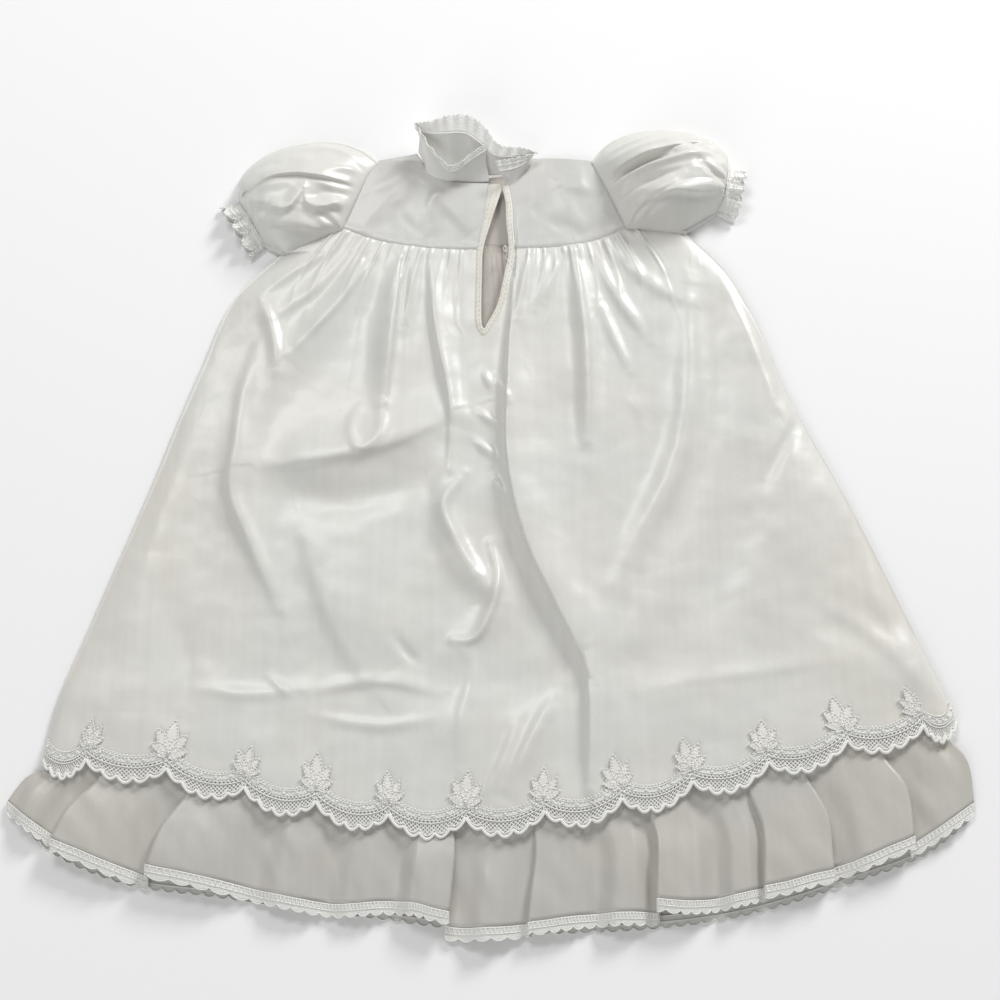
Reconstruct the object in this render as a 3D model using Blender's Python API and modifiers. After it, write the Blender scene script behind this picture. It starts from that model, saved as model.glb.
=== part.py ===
"""A christening gown laid flat with its back up: yokes, gathered skirt, puff sleeves, lace and ruffle.

Sizes are millimetres on a plan of the laid-out gown: x runs across it, y runs up to the neck, and
z is the height above the surface. MIDDLE, the middle of the laid-out gown, becomes the origin.
"""

import math
from collections import namedtuple

import bmesh
import bpy
import numpy as np

MM = 0.001
MERGE = 1e-6
MIDDLE = (0.1, 1.2)

# Cloth walls and the clearances between them
SATIN = 1.2
LACE = 1.0
RUFFLE = 1.0
SEAM_GAP = 0.35
LAYER_GAP = 0.3

# Heights of the layers, from the surface up
FRONT_TOP = SATIN
OVER_FRONT = FRONT_TOP + LAYER_GAP
OVER_RUFFLES = 6.0
BACK_RISE = 4.0
RISE_LOST_OVER_RUFFLES = 0.6
RUFFLES_START = 14.0
RUFFLES_FULL = -2.0
SIDE_ROLL = 10.0
SEAM_ROLL = 4.0
NO_SIDE = 1000.0
SHOULDER_Y = 269.0
SHOULDER_ROLL = 12.0

# Counts of the grids: scallops along the hem, columns for each, and rows of the skirt
SCALLOPS = 13
SCALLOP_COLUMNS = 4
HALF_COLUMNS = SCALLOPS * SCALLOP_COLUMNS // 2
GATHER_ROWS = 6
SLIT_END = 0.165
SLIT_TAPER = 0.86
SKIRT_ROWS = (0, 0.014, 0.04, 0.075, 0.11, SLIT_TAPER * SLIT_END, SLIT_END, 0.22, 0.28, 0.34, 0.40, 0.46,
              0.52, 0.58, 0.64, 0.70, 0.76, 0.82, 0.885, 0.94, 0.97, 1)

# Gathers below the yoke seam: height, how fast they rise and fade, their extent, unevenness
GATHER_HEIGHT = 2.0
GATHER_FADE = 0.09
GATHER_START = 0.012
GATHERED = (0.13, 0.18, 0.81, 0.86)
GATHER_SLIT = 0.012
GATHER_UNEVEN = 0.3
GATHER_BEAT = 2.4

# Plan of the yokes and armholes
SHOULDERS = {"left": [(-84, 266), (-70, 269), (-55, 272)], "right": [(30, 268), (52, 268), (74, 266)]}
BACK_NECK = {"left": [(-55, 272), (-50, 262), (-41, 252), (-29, 248), (-2, 246)],
             "right": [(12, 245), (19, 250), (26, 257), (30, 268)]}
FRONT_NECK = [(-55, 272), (-42, 260), (-25, 255), (-5, 253), (15, 256), (30, 268)]
YOKE_ARMHOLES = {"left": [(-84, 266), (-92, 252), (-99, 234), (-109, 209)],
                 "right": [(74, 266), (80, 252), (88, 233), (98, 209)]}
UNDERARMS = {"left": (-152, 190), "right": (141, 207)}
YOKE_SEAMS = {"left": [(-109, 209), (-86, 200), (-47, 193), (-10.7, 192)],
              "right": [(16.8, 192), (52, 194), (78, 200), (98, 209)]}
FRONT_SEAM = [(-109, 209), (-50, 199), (0, 197), (50, 200), (98, 209)]
BACK_NECK_ENDS = {"left": 246, "right": 245}

# Where one curve of an edge hands over to the next, as a share of the edge's columns
FRONT_NECK_SHARES = (0.25, 0.78)
BACK_NECK_SHARES = {"left": 0.32, "right": 0.42}
UNDERARM_SHARES = {"left": 0.3, "right": 0.66}
FRONT_UNDERARM_SHARES = (0.19, 0.84)
ARMHOLE_SHARE = 0.57

# Back opening: height on the plan, cloth edge and hole edge on each side
Opening = namedtuple("Opening", "y left_cloth left_hole right_hole right_cloth")
PLACKET = [
    Opening(245, -2.0, 6.6, 7.4, 12.0),
    Opening(240, -3.0, 7.0, 8.0, 13.0),
    Opening(229, -4.5, 4.0, 10.0, 15.0),
    Opening(214, -6.5, -0.5, 10.5, 15.5),
    Opening(192, -10.7, -6.2, 12.0, 16.8),
    Opening(170, -11.2, -7.0, 8.5, 13.5),
    Opening(149, -11.8, -7.3, 4.0, 9.0),
    Opening(134, -11.0, -7.0, -3.2, 1.6),
]
PLACKET_CLOTH_END = (-5.5, 125.5)
PLACKET_HOLE_END = (-5.2, 130.5)
BINDING_COLUMNS = 32
BINDING_GAP = 0.6
BINDING_LIFT = 0.5
BINDING = 1.5

# Plan of the skirt: side seams from the underarm down, the back's centre below the slit, the hem
SKIRT_SIDES = {
    "left": [(-152, 190), (-180, 161), (-205, 99), (-235, 10), (-265, -75), (-289, -148), (-293, -172)],
    "right": [(141, 207), (168, 177), (185, 145), (207, 84), (248, -4), (283, -88), (307, -147)],
}
SKIRT_CENTRE = [PLACKET_CLOTH_END, (0, 20), (9.5, -210)]
HEM = [(-293, -172), (-237, -175), (-136, -196), (-39, -211), (61, -203), (158, -181), (260, -155),
       (307, -147)]
SCALLOP_TOPS = (-293, -264, -211, -160, -113, -66, -16, 35, 85, 131, 181, 233, 284, 307)
SCALLOP_DROP = (5, 14)
SCALLOP_ROUND = 0.7
LACE_ROWS_ON_CLOTH = 2
LACE_DROOP = 0.2
LEAF_TAPER = 0.7

# Ridges of the back skirt: path down the cloth, width on its left and right, height
Fold = namedtuple("Fold", "path left right height")
SKIRT_FOLDS = [
    Fold([(17, 165), (14, 29), (26, -28), (46, -74), (65, -117), (66, -194)], 6, 34, 7.0),
    Fold([(60, 190), (66, 111), (66, 30)], 8, 11, 5.5),
    Fold([(-66, 188), (-73, 126), (-75, 60)], 11, 8, 5.5),
    Fold([(-41, 189), (-35, 134), (-25, 50)], 8, 9, 4.0),
    Fold([(-84, 185), (-114, 142), (-145, 100)], 10, 12, 4.5),
    Fold([(-163, 149), (-152, 111), (-170, 51), (-168, 0), (-145, -63), (-137, -87)], 16, 12, 4.0),
    Fold([(-165, 26), (-104, 36), (-25, 66)], 18, 24, 7.0),
    Fold([(-100, 0), (-92, -60), (-60, -120)], 30, 34, 5.0),
    Fold([(142, 173), (134, 51), (87, -56)], 10, 12, 6.5),
    Fold([(190, 110), (205, 20), (190, -90)], 26, 26, 6.0),
    Fold([(-18, 60), (-32, -3), (-22, -40), (4, -70), (-24, -105)], 10, 10, 5.0),
    Fold([(-230, -30), (-238, -90), (-240, -150)], 22, 20, 4.0),
    Fold([(120, -40), (140, -110), (150, -170)], 24, 24, 3.5),
    Fold([(35, -150), (22, -180), (11, -205)], 9, 9, 3.0),
]
FOLD_SAMPLES = 25
FOLD_END = 0.04
FOLD_ROUND = 0.6

# Ruffle tier under the skirt: its top seam, sides, hem, and the fold lines that part its waves
RUFFLE_SEAM = [(-272, -136), (-205, -133), (-125, -140), (-27, -152), (72, -140), (164, -127),
               (231, -112), (283, -106)]
RUFFLE_SIDES = {"left": [(-272, -136), (-275, -158), (-286, -178), (-303, -187), (-314, -202)],
                "right": [(283, -106), (291, -135), (298, -158), (311, -174), (314, -203)]}
RUFFLE_HEM = [(-314, -202), (-284, -223), (-232, -244), (-180, -252), (-102, -267), (-44, -269),
              (-28, -277), (0, -281), (51, -275), (127, -267), (205, -249), (284, -221), (314, -203)]
Wave = namedtuple("Wave", "seam_x hem_x height")
RUFFLE_WAVES = [
    Wave(-272, -314, 0.0), Wave(-248, -281, 4.0), Wave(-193, -219, 5.5), Wave(-136, -153, 6.5),
    Wave(-102, -105, 4.0), Wave(-62, -62, 4.0), Wave(-29, -29, 3.5), Wave(10, 12, 6.5), Wave(36, 44, 4.0),
    Wave(92, 108, 7.0), Wave(136, 152, 4.5), Wave(180, 202, 6.0), Wave(214, 240, 4.0), Wave(244, 278, 6.0),
    Wave(283, 314, 4.0),
]
WAVE_COLUMNS = 4
WAVE_LEAN = 1.5
WAVE_START = 0.35
RUFFLE_ROWS = 6
RUFFLE_LOW = 2.9
RUFFLE_DROP = 0.3
RUFFLE_FLAT_END = 0.02
RUFFLE_UNDER_SKIRT = 0.22
RUFFLE_HIDDEN = 0.45
CLOTH_REACH = 9.0
FRONT_RUFFLE_ROWS = (0, 0.4, 0.76, 0.88, 1)
FRONT_RUFFLE_COLUMNS = 36
FRONT_RUFFLE_SIDES = {"left": [(-272, -136), (-275, -158), (-284, -179), (-300, -189), (-311, -204)],
                      "right": [(283, -106), (290, -135), (297, -158), (308, -176), (311, -206)]}
FRONT_RUFFLE_HEM = [(-311, -204), (-284, -226), (-232, -247), (-180, -254), (-102, -264), (0, -276),
                    (76, -276), (153, -268), (231, -246), (284, -226), (311, -206)]
EDGING = 7.5

# Sleeves: outline from the shoulder, cuff line from the top, outline from the underarm, heights
Sleeve = namedtuple("Sleeve", "side upper cuff lower crown cuff_height folds")
SLEEVES = [
    Sleeve("left",
           [(-84, 266), (-94, 274), (-105, 279), (-122, 282), (-141, 280), (-158, 275), (-174, 265),
            (-185, 250), (-185, 232)],
           [(-185, 232), (-178, 220), (-171, 208), (-164, 196)], [(-152, 190), (-164, 196)], 24, 10,
           (0.0, 1.4, -0.8, -2.2, 1.6, 0.4, -2.0, 1.2, 0.0, -1.2, 0.8)),
    Sleeve("right",
           [(74, 266), (84, 276), (98, 284), (114, 288), (132, 289), (150, 286), (165, 278), (174, 268),
            (173, 258)],
           [(173, 258), (171, 246), (169, 234), (164, 222)], [(141, 207), (164, 222)], 33, 14,
           (0.0, 1.8, -2.2, 2.4, -1.6, 2.0, -2.4, 1.6, -1.0, 1.4, 0.0)),
]
SLEEVE_CLEARANCE = 0.35
SLEEVE_ROLL = 2.3
DOME_ROUND = 0.7
PUFF_ROUND = 0.55
PUFF_END = 0.98
FOLD_START = 0.1
SLEEVE_ROWS = 8
TOP_COLUMNS = 20
ROLL_COLUMNS = 3
UNDER_COLUMNS = 8
SLEEVE_GATHER = 0.8
CUFF_LACE = 14.0
CUFF_FLARE = 3.0
CUFF_WAVE = 1.6
CUFF_ROWS = 2

# Collar: foot and head of the band, then the lace's edge, as x, y, z around the neck from the
# back's left end over the front to the back's right end
Collar = namedtuple("Collar", "foot head edge")
COLLAR = [
    Collar((-2, 247.5, 7.5), (-4, 262, 20), (-2, 271, 23)),
    Collar((-16, 249, 7.5), (-14, 259, 23), (-9, 266, 27)),
    Collar((-29, 249.5, 7.5), (-29, 248, 25), (-27, 252, 31)),
    Collar((-40, 253, 7), (-40, 259, 23), (-40, 264, 29)),
    Collar((-50, 264, 5), (-50, 275, 18), (-52, 279, 23)),
    Collar((-54, 273.5, 3.2), (-53, 282, 17), (-56, 286, 22)),
    Collar((-43, 261.5, 2.4), (-43, 280, 19), (-45, 287, 23)),
    Collar((-31, 257.5, 2.4), (-33, 279, 21), (-33, 290, 25)),
    Collar((-18, 255.5, 2.4), (-20, 279, 21), (-19, 291, 25)),
    Collar((-5, 254.5, 2.4), (-9, 272, 20), (-7, 284, 24)),
    Collar((7, 255.5, 2.4), (4, 266, 17), (6, 274, 21)),
    Collar((19, 260, 2.6), (20, 267, 14), (20, 273, 19)),
    Collar((29.5, 269.5, 3.4), (30, 268, 14), (33, 269, 20)),
    Collar((26, 260, 5.5), (24, 260, 17), (25, 262, 23)),
    Collar((19, 252, 7.5), (17, 254, 19), (18, 258, 25)),
    Collar((12, 247.5, 7.5), (5, 249, 20), (4, 254, 25)),
]
COLLAR_COLUMNS = 45
FRILL_GAP = 0.8
BAND_ROWS = 2

COLOURS = {  # base colour, roughness
    "satin": ((0.80, 0.79, 0.75), 0.32),
    "lace": ((0.84, 0.83, 0.79), 0.75),
    "binding": ((0.82, 0.79, 0.71), 0.45),
}


def spline(marks, values):
    """A smooth line through the values at the marks, as a function of the mark."""
    marks = np.array(marks, float)
    values = np.array(values, float)
    slopes = np.gradient(values, marks, axis=0)

    def at(mark):
        k = int(np.clip(np.searchsorted(marks, mark) - 1, 0, len(marks) - 2))
        span = marks[k + 1] - marks[k]
        s = min(max((mark - marks[k]) / span, 0), 1)
        return (
            (1 + 2 * s) * (1 - s) ** 2 * values[k]
            + s * (1 - s) ** 2 * span * slopes[k]
            + s * s * (3 - 2 * s) * values[k + 1]
            - s * s * (1 - s) * span * slopes[k + 1]
        )

    return at


def curve(points):
    """A smooth curve through the points, as a function of the fraction of its length."""
    points = np.array(points, float)
    steps = np.linalg.norm(np.diff(points, axis=0), axis=1)
    return spline(np.concatenate([[0], np.cumsum(steps)]) / steps.sum(), points)


def even_curve(points):
    """A smooth curve that spends the same share of its run between each two points."""
    return spline(np.linspace(0, 1, len(points)), points)


def joined(first, second, share):
    """One curve that runs through the first up to the share and then through the second."""

    def at(t):
        return first(t / share) if t < share else second((t - share) / (1 - share))

    return at


def moved(line, x, y):
    return lambda t: line(t) + np.array([x, y])


def panel(top, bottom, left, right):
    """The plan of a panel between four edge curves, as a function of u across and v down."""
    corners = top(0), top(1), bottom(0), bottom(1)

    def at(u, v):
        across = (1 - u) * left(v) + u * right(v)
        down = (1 - v) * top(u) + v * bottom(u)
        at_top = (1 - u) * corners[0] + u * corners[1]
        at_bottom = (1 - u) * corners[2] + u * corners[3]
        return across + down - (1 - v) * at_top - v * at_bottom

    return at


def smooth_step(low, high, x):
    s = min(max((x - low) / (high - low), 0), 1)
    return s * s * (3 - 2 * s)


def line_y(points):
    """The plan height of an edge line at a given x."""
    return spline([x for x, _ in points], [y for _, y in points])


def side_x(points):
    """The x of a side line at a given y, read from the underarm down."""
    return spline([-y for _, y in points], [x for x, _ in points])


HEM_Y = line_y(HEM)
RUFFLE_SEAM_Y = line_y(RUFFLE_SEAM)
LEFT_X = side_x(SKIRT_SIDES["left"])
RIGHT_X = side_x(SKIRT_SIDES["right"])


def fold_samples(fold):
    path = curve(fold.path)
    return np.array([path(t) for t in np.linspace(0, 1, FOLD_SAMPLES)])


FOLD_PATHS = [(fold, fold_samples(fold)) for fold in SKIRT_FOLDS]


def fold_height(x, y):
    """The folds' height over a point of the plan: each ridge falls off to both sides and at its ends."""
    total = 0
    for fold, path in FOLD_PATHS:
        starts, runs = path[:-1], np.diff(path, axis=0)
        offsets = np.array([x, y]) - starts
        along = np.clip((offsets * runs).sum(axis=1) / (runs**2).sum(axis=1), 0, 1)
        offsets -= along[:, None] * runs
        near = int(np.argmin((offsets**2).sum(axis=1)))
        offset, run = offsets[near], runs[near]
        width = fold.right if run[0] * offset[1] - run[1] * offset[0] > 0 else fold.left
        share = min(max((near + along[near]) / len(runs), FOLD_END), 1 - FOLD_END)
        fade = math.sin(math.pi * share) ** FOLD_ROUND
        total += fold.height * fade * math.exp(-(offset @ offset) / width**2)
    return total


def back_under(x, y):
    """The underside of the back's cloth: it rolls up from the side seams and the shoulders."""
    side = NO_SIDE
    if y < UNDERARMS["left"][1] and x < 0:
        side = x - LEFT_X(-y)
    if y < UNDERARMS["right"][1] and x > 0:
        side = RIGHT_X(-y) - x
    roll = 1 - math.exp(-max(side, 0) / SIDE_ROLL)
    roll *= 1 - math.exp(-max(SHOULDER_Y - y, 0) / SHOULDER_ROLL)
    over = smooth_step(RUFFLES_START, RUFFLES_FULL, y - RUFFLE_SEAM_Y(x))
    floor = OVER_FRONT + (OVER_RUFFLES - OVER_FRONT) * over * (1 - math.exp(-max(side, 0) / SEAM_ROLL))
    fullness = BACK_RISE * (1 - RISE_LOST_OVER_RUFFLES * over) + fold_height(x, y)
    return floor + roll * fullness


def new_material(name):
    colour, roughness = COLOURS[name]
    material = bpy.data.materials.new(name)
    material.use_nodes = True
    shader = material.node_tree.nodes["Principled BSDF"]
    shader.inputs["Base Color"].default_value = (*colour, 1)
    shader.inputs["Roughness"].default_value = roughness
    shader.inputs["Metallic"].default_value = 0
    return material


def lines(count):
    return np.linspace(0, 1, count + 1)


def grid(across, down):
    """A flat grid with a point at each pair of the across and down values, kept in its x and y."""
    sheet = bmesh.new()
    bmesh.ops.create_grid(sheet, x_segments=len(across) - 1, y_segments=len(down) - 1, size=0.5)
    return sheet


def place(sheet, across, down, at):
    """Moves each point of a grid to at(u, v), a point in millimetres."""
    for vert in sheet.verts:
        u = np.interp(vert.co.x + 0.5, lines(len(across) - 1), across)
        v = np.interp(0.5 - vert.co.y, lines(len(down) - 1), down)
        vert.co = np.array(at(u, v)) * MM


def finish(sheet, name, material, wall, inwards=False):
    """Makes the sheet an object with a wall on the side that it faces, or on the other."""
    bmesh.ops.remove_doubles(sheet, verts=sheet.verts, dist=MERGE)
    bmesh.ops.translate(sheet, verts=sheet.verts, vec=(-MIDDLE[0] * MM, -MIDDLE[1] * MM, 0))
    mesh = bpy.data.meshes.new(name)
    sheet.to_mesh(mesh)
    sheet.free()
    mesh.materials.append(MATERIALS[material])
    mesh.shade_smooth()
    piece = bpy.data.objects.new(name, mesh)
    GOWN.objects.link(piece)
    solidify = piece.modifiers.new("wall", "SOLIDIFY")
    solidify.thickness = wall * MM
    solidify.offset = -1 if inwards else 1
    return piece


def cloth(name, across, down, at, material="satin", wall=SATIN, inwards=False):
    sheet = grid(across, down)
    place(sheet, across, down, at)
    return finish(sheet, name, material, wall, inwards)


def on_floor(plan, z=0.0):
    return lambda u, v: (*plan(u, v), z)


def on_back(plan):
    def at(u, v):
        x, y = plan(u, v)
        return x, y, back_under(x, y)

    return at


def cloth_edge(side, from_y, to_y):
    """The edge of the back's cloth along the opening, from one height on the plan to another."""
    column = "left_cloth" if side == "left" else "right_cloth"
    edge = spline([-row.y for row in PLACKET], [getattr(row, column) for row in PLACKET])

    def at(t):
        y = from_y + (to_y - from_y) * t
        return np.array([edge(-y), y])

    return at


def yokes():
    armhole_left = curve(YOKE_ARMHOLES["left"])
    armhole_right = curve(YOKE_ARMHOLES["right"])
    seam = curve(FRONT_SEAM)
    first, second = FRONT_NECK_SHARES
    neck = joined(curve(SHOULDERS["left"]), curve(FRONT_NECK), first / second)
    neck = joined(neck, curve(SHOULDERS["right"]), second)
    front = panel(neck, seam, armhole_left, armhole_right)
    cloth("front_yoke", lines(16), lines(4), on_floor(front))

    seam_y = YOKE_SEAMS["left"][-1][1]
    top = joined(curve(SHOULDERS["left"]), curve(BACK_NECK["left"]), BACK_NECK_SHARES["left"])
    opening = cloth_edge("left", BACK_NECK_ENDS["left"], seam_y)
    left = panel(top, curve(YOKE_SEAMS["left"]), armhole_left, opening)
    cloth("back_yoke_left", lines(14), lines(8), on_back(left))

    top = joined(curve(BACK_NECK["right"]), curve(SHOULDERS["right"]), BACK_NECK_SHARES["right"])
    opening = cloth_edge("right", BACK_NECK_ENDS["right"], seam_y)
    right = panel(top, curve(YOKE_SEAMS["right"]), opening, armhole_right)
    cloth("back_yoke_right", lines(12), lines(8), on_back(right))


def hem_point(u):
    """The hem at the share u of its columns: the scallops, wide or narrow, have equal shares."""
    x = np.interp(u * SCALLOPS, range(SCALLOPS + 1), SCALLOP_TOPS)
    return np.array([x, HEM_Y(x)])


def half_skirt(side):
    """The plan of one half of the back skirt, u from left to right, v from the yoke down."""
    underarm = np.array(UNDERARMS[side])
    drop = (0, -SEAM_GAP)
    seam = moved(curve(YOKE_SEAMS[side]), *drop)
    centre_below = curve(SKIRT_CENTRE)
    slit_top = YOKE_SEAMS["left"][-1][1] - SEAM_GAP
    slit = cloth_edge(side, slit_top, PLACKET[-1].y)
    slit = joined(slit, curve([slit(1), PLACKET_CLOTH_END]), SLIT_TAPER)
    centre = joined(slit, centre_below, SLIT_END)
    outer = curve(SKIRT_SIDES[side])
    if side == "left":
        armhole = curve([underarm, np.array(YOKE_ARMHOLES["left"][-1]) + drop])
        top = joined(armhole, seam, UNDERARM_SHARES["left"])
        return panel(top, lambda u: hem_point(u / 2), outer, centre)
    armhole = curve([np.array(YOKE_ARMHOLES["right"][-1]) + drop, underarm])
    top = joined(seam, armhole, UNDERARM_SHARES["right"])
    return panel(top, lambda u: hem_point(0.5 + u / 2), centre, outer)


def skirt_columns():
    return lines(2 * HALF_COLUMNS)


def back_skirt_sheet():
    """The back skirt's grid: twice the columns where it is gathered, and split down the slit."""
    across, down = skirt_columns(), SKIRT_ROWS
    sheet = grid(across, down)
    row_height = 1 / (len(down) - 1)
    gathered = 0.5 - (GATHER_ROWS + 0.5) * row_height
    level = [
        e for e in sheet.edges
        if abs(e.verts[0].co.y - e.verts[1].co.y) < MERGE and e.verts[0].co.y > gathered
    ]
    bmesh.ops.subdivide_edges(sheet, edges=level, cuts=1, use_grid_fill=True)
    slit = [
        e for e in sheet.edges
        if all(abs(vert.co.x) < MERGE and vert.co.y > gathered for vert in e.verts)
    ]
    bmesh.ops.split_edges(sheet, edges=slit)
    halves = {side: half_skirt(side) for side in ("left", "right")}
    for vert in list(sheet.verts):
        faces_x = sum(face.calc_center_median().x for face in vert.link_faces)
        side = "left" if faces_x < -MERGE else "right"
        column = round((vert.co.x + 0.5) * 2 * (len(across) - 1))
        u = np.interp(vert.co.x + 0.5, lines(len(across) - 1), across)
        v = np.interp(0.5 - vert.co.y, lines(len(down) - 1), down)
        x, y = halves[side](2 * u if side == "left" else 2 * u - 1, v)
        z = back_under(x, y) + gather_height(u, v, column)
        vert.co = np.array([x, y, z]) * MM
    sheet.normal_update()
    return sheet


def gather_height(u, v, column):
    """Small gathers below the yoke seam: they start at the stitches and die away down the skirt."""
    start, full, last, end = GATHERED
    inside = smooth_step(start, full, u) * smooth_step(end, last, u)
    if abs(u - 0.5) < GATHER_SLIT:
        inside = 0
    uneven = 1 - GATHER_UNEVEN + GATHER_UNEVEN * math.sin(GATHER_BEAT * column)
    rise = (1 - math.exp(-v / GATHER_START)) * math.exp(-v / GATHER_FADE)
    return GATHER_HEIGHT * (1 + (-1) ** column) * uneven * rise * inside


def skirts():
    finish(back_skirt_sheet(), "back_skirt", "satin", SATIN)

    seam = moved(curve(FRONT_SEAM), 0, -SEAM_GAP)
    first, second = FRONT_UNDERARM_SHARES
    top = joined(curve([UNDERARMS["left"], seam(0)]), seam, first / second)
    top = joined(top, curve([seam(1), UNDERARMS["right"]]), second)
    front = panel(top, hem_point, curve(SKIRT_SIDES["left"]), curve(SKIRT_SIDES["right"]))
    cloth("front_skirt", lines(26), lines(7), on_floor(front))


def scallop_drop(u):
    """How far the lace hangs below the cloth's hem at the share u of its columns."""
    phase = (u * SCALLOPS) % 1
    shallow, deep = SCALLOP_DROP
    return shallow + (deep - shallow) * math.sin(math.pi * phase) ** SCALLOP_ROUND


def back_lace():
    """Scalloped lace that lies on the back skirt's last rows, moved out, and hangs past its hem."""
    skirt = back_skirt_sheet()
    across = skirt_columns()
    width, height = len(across), LACE_ROWS_ON_CLOTH + 1
    lift = (SATIN + LAYER_GAP) * MM
    lowest = sorted(skirt.verts, key=lambda vert: vert.index)[: width * height]
    rows = np.array([vert.co + vert.normal * lift for vert in lowest]).reshape(height, width, 3) / MM
    skirt.free()
    hem, top = rows[0], rows[::-1]

    sheet = grid(across, lines(height + 1))
    for vert in list(sheet.verts):
        column = round((vert.co.x + 0.5) * (width - 1))
        row = round((0.5 - vert.co.y) * (height + 1))
        if row == 0 and column % SCALLOP_COLUMNS in (1, SCALLOP_COLUMNS - 1):
            tip = column - 1 if column % SCALLOP_COLUMNS == 1 else column + 1
            point = top[row][column] + (top[row][tip] - top[row][column]) * LEAF_TAPER
        elif row < height:
            point = top[row][column]
        else:
            share = (row - height + 1) / 2
            point = hem[column] + np.array([0, -scallop_drop(across[column]), -LACE_DROOP]) * share
        vert.co = point * MM
    between_leaves = [
        face for face in sheet.faces
        if max(vert.index // width for vert in face.verts) == height + 1
        and all(vert.index % width % SCALLOP_COLUMNS for vert in face.verts)
    ]
    bmesh.ops.delete(sheet, geom=between_leaves, context="FACES")
    finish(sheet, "skirt_lace_back", "lace", LACE)


def front_lace():
    """The front's lace, flat on the surface past the front skirt's hem."""

    def at(u, v):
        x, y = hem_point(u)
        return x, y - SEAM_GAP - v * scallop_drop(u), 0

    cloth("skirt_lace_front", skirt_columns(), lines(1), at, "lace", LACE)


def wave_columns():
    return lines((len(RUFFLE_WAVES) - 1) * WAVE_COLUMNS)


def wave_at(u):
    """The ruffle's column share as a number of waves: its whole part, and how far through the wave."""
    place_in_row = u * (len(RUFFLE_WAVES) - 1)
    wave = min(int(place_in_row), len(RUFFLE_WAVES) - 2)
    return wave, place_in_row - wave


def ruffle_edge(points, column):
    """A long edge of the ruffle whose columns follow the waves' fold lines."""
    y = line_y(points)
    fold_x = [getattr(wave, column) for wave in RUFFLE_WAVES]

    def at(u):
        x = np.interp(u, lines(len(fold_x) - 1), fold_x)
        return np.array([x, y(x)])

    return at


def wave_height(u, v):
    wave, phase = wave_at(u)
    height = RUFFLE_WAVES[wave + 1].height
    bulge = math.sin(math.pi * phase**WAVE_LEAN)
    free = smooth_step(WAVE_START, 1, v)
    return height * bulge * (RUFFLE_UNDER_SKIRT + (1 - RUFFLE_UNDER_SKIRT) * free)


def below_back(x, y):
    """The height that the ruffle may reach under the back skirt, below the lowest cloth near the point."""
    steps = (-CLOTH_REACH, 0, CLOTH_REACH)
    lowest = min(back_under(x + dx, y + dy) for dx in steps for dy in steps)
    return max(lowest - RUFFLE - SEAM_GAP, RUFFLE_LOW)


def back_ruffle_point(plan):
    def at(u, v):
        x, y = plan(u, min(v, 1))
        hung = below_back(*plan(u, 0))
        drop = smooth_step(0, RUFFLE_DROP, v)
        edge = min(smooth_step(0, RUFFLE_FLAT_END, u), smooth_step(1, 1 - RUFFLE_FLAT_END, u))
        z = hung + (RUFFLE_LOW - hung) * drop + wave_height(u, min(v, 1)) * drop * edge
        if v < RUFFLE_HIDDEN:
            z = min(z, below_back(x, y))
        return x, y - max(v - 1, 0), z

    return at


def ruffles():
    seam = ruffle_edge(RUFFLE_SEAM, "seam_x")
    hem = ruffle_edge(RUFFLE_HEM, "hem_x")
    plan = panel(seam, hem, curve(RUFFLE_SIDES["left"]), curve(RUFFLE_SIDES["right"]))
    at = back_ruffle_point(plan)
    cloth("ruffle_back", wave_columns(), lines(RUFFLE_ROWS), at, "satin", RUFFLE)

    def edging(u, v):
        return at(u, 1 + SEAM_GAP + v * EDGING)

    cloth("ruffle_edging_back", wave_columns(), lines(1), edging, "lace", LACE)

    seam = curve(RUFFLE_SEAM)
    hem = curve(FRONT_RUFFLE_HEM)
    sides = FRONT_RUFFLE_SIDES
    front_plan = panel(seam, hem, curve(sides["left"]), curve(sides["right"]))
    over_skirt, on_surface = FRONT_RUFFLE_ROWS[2:4]

    def front(u, v):
        return (*front_plan(u, v), OVER_FRONT * np.interp(v, [over_skirt, on_surface], [1, 0]))

    cloth("ruffle_front", lines(FRONT_RUFFLE_COLUMNS), FRONT_RUFFLE_ROWS, front, "satin", RUFFLE)

    def front_edging(u, v):
        x, y = hem(u)
        return x, y - SEAM_GAP - v * EDGING, 0

    cloth("ruffle_edging_front", lines(FRONT_RUFFLE_COLUMNS), lines(1), front_edging, "lace", LACE)


def around(u):
    """Where the share u of a sleeve's round lies: on which of its four parts, and how far along it."""
    parts = (("top", TOP_COLUMNS), ("far", ROLL_COLUMNS), ("under", UNDER_COLUMNS), ("near", ROLL_COLUMNS))
    at = (u % 1) * sum(count for _, count in parts)
    for name, count in parts:
        if at <= count + MERGE:
            return name, at / count
        at -= count
    return "top", 0


def sleeve_columns():
    return lines(TOP_COLUMNS + 2 * ROLL_COLUMNS + UNDER_COLUMNS)


def sleeve_section(u, width, height):
    """A flattened tube: share of its width, and height, with a dome on top and a flat underside."""
    part, share = around(u)
    roll = SLEEVE_ROLL / width
    if part == "top":
        across = roll + (1 - 2 * roll) * share
        dome = math.sin(math.pi * share) ** DOME_ROUND if 0 < share < 1 else 0
        return across, 2 * SLEEVE_ROLL + (height - 2 * SLEEVE_ROLL) * dome
    if part == "under":
        return 1 - roll - (1 - 2 * roll) * share, 0
    angle = math.pi * share
    bulge = roll * (1 - math.sin(angle))
    if part == "far":
        return 1 - bulge, SLEEVE_ROLL * (1 + math.cos(angle))
    return bulge, SLEEVE_ROLL * (1 - math.cos(angle))


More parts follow.
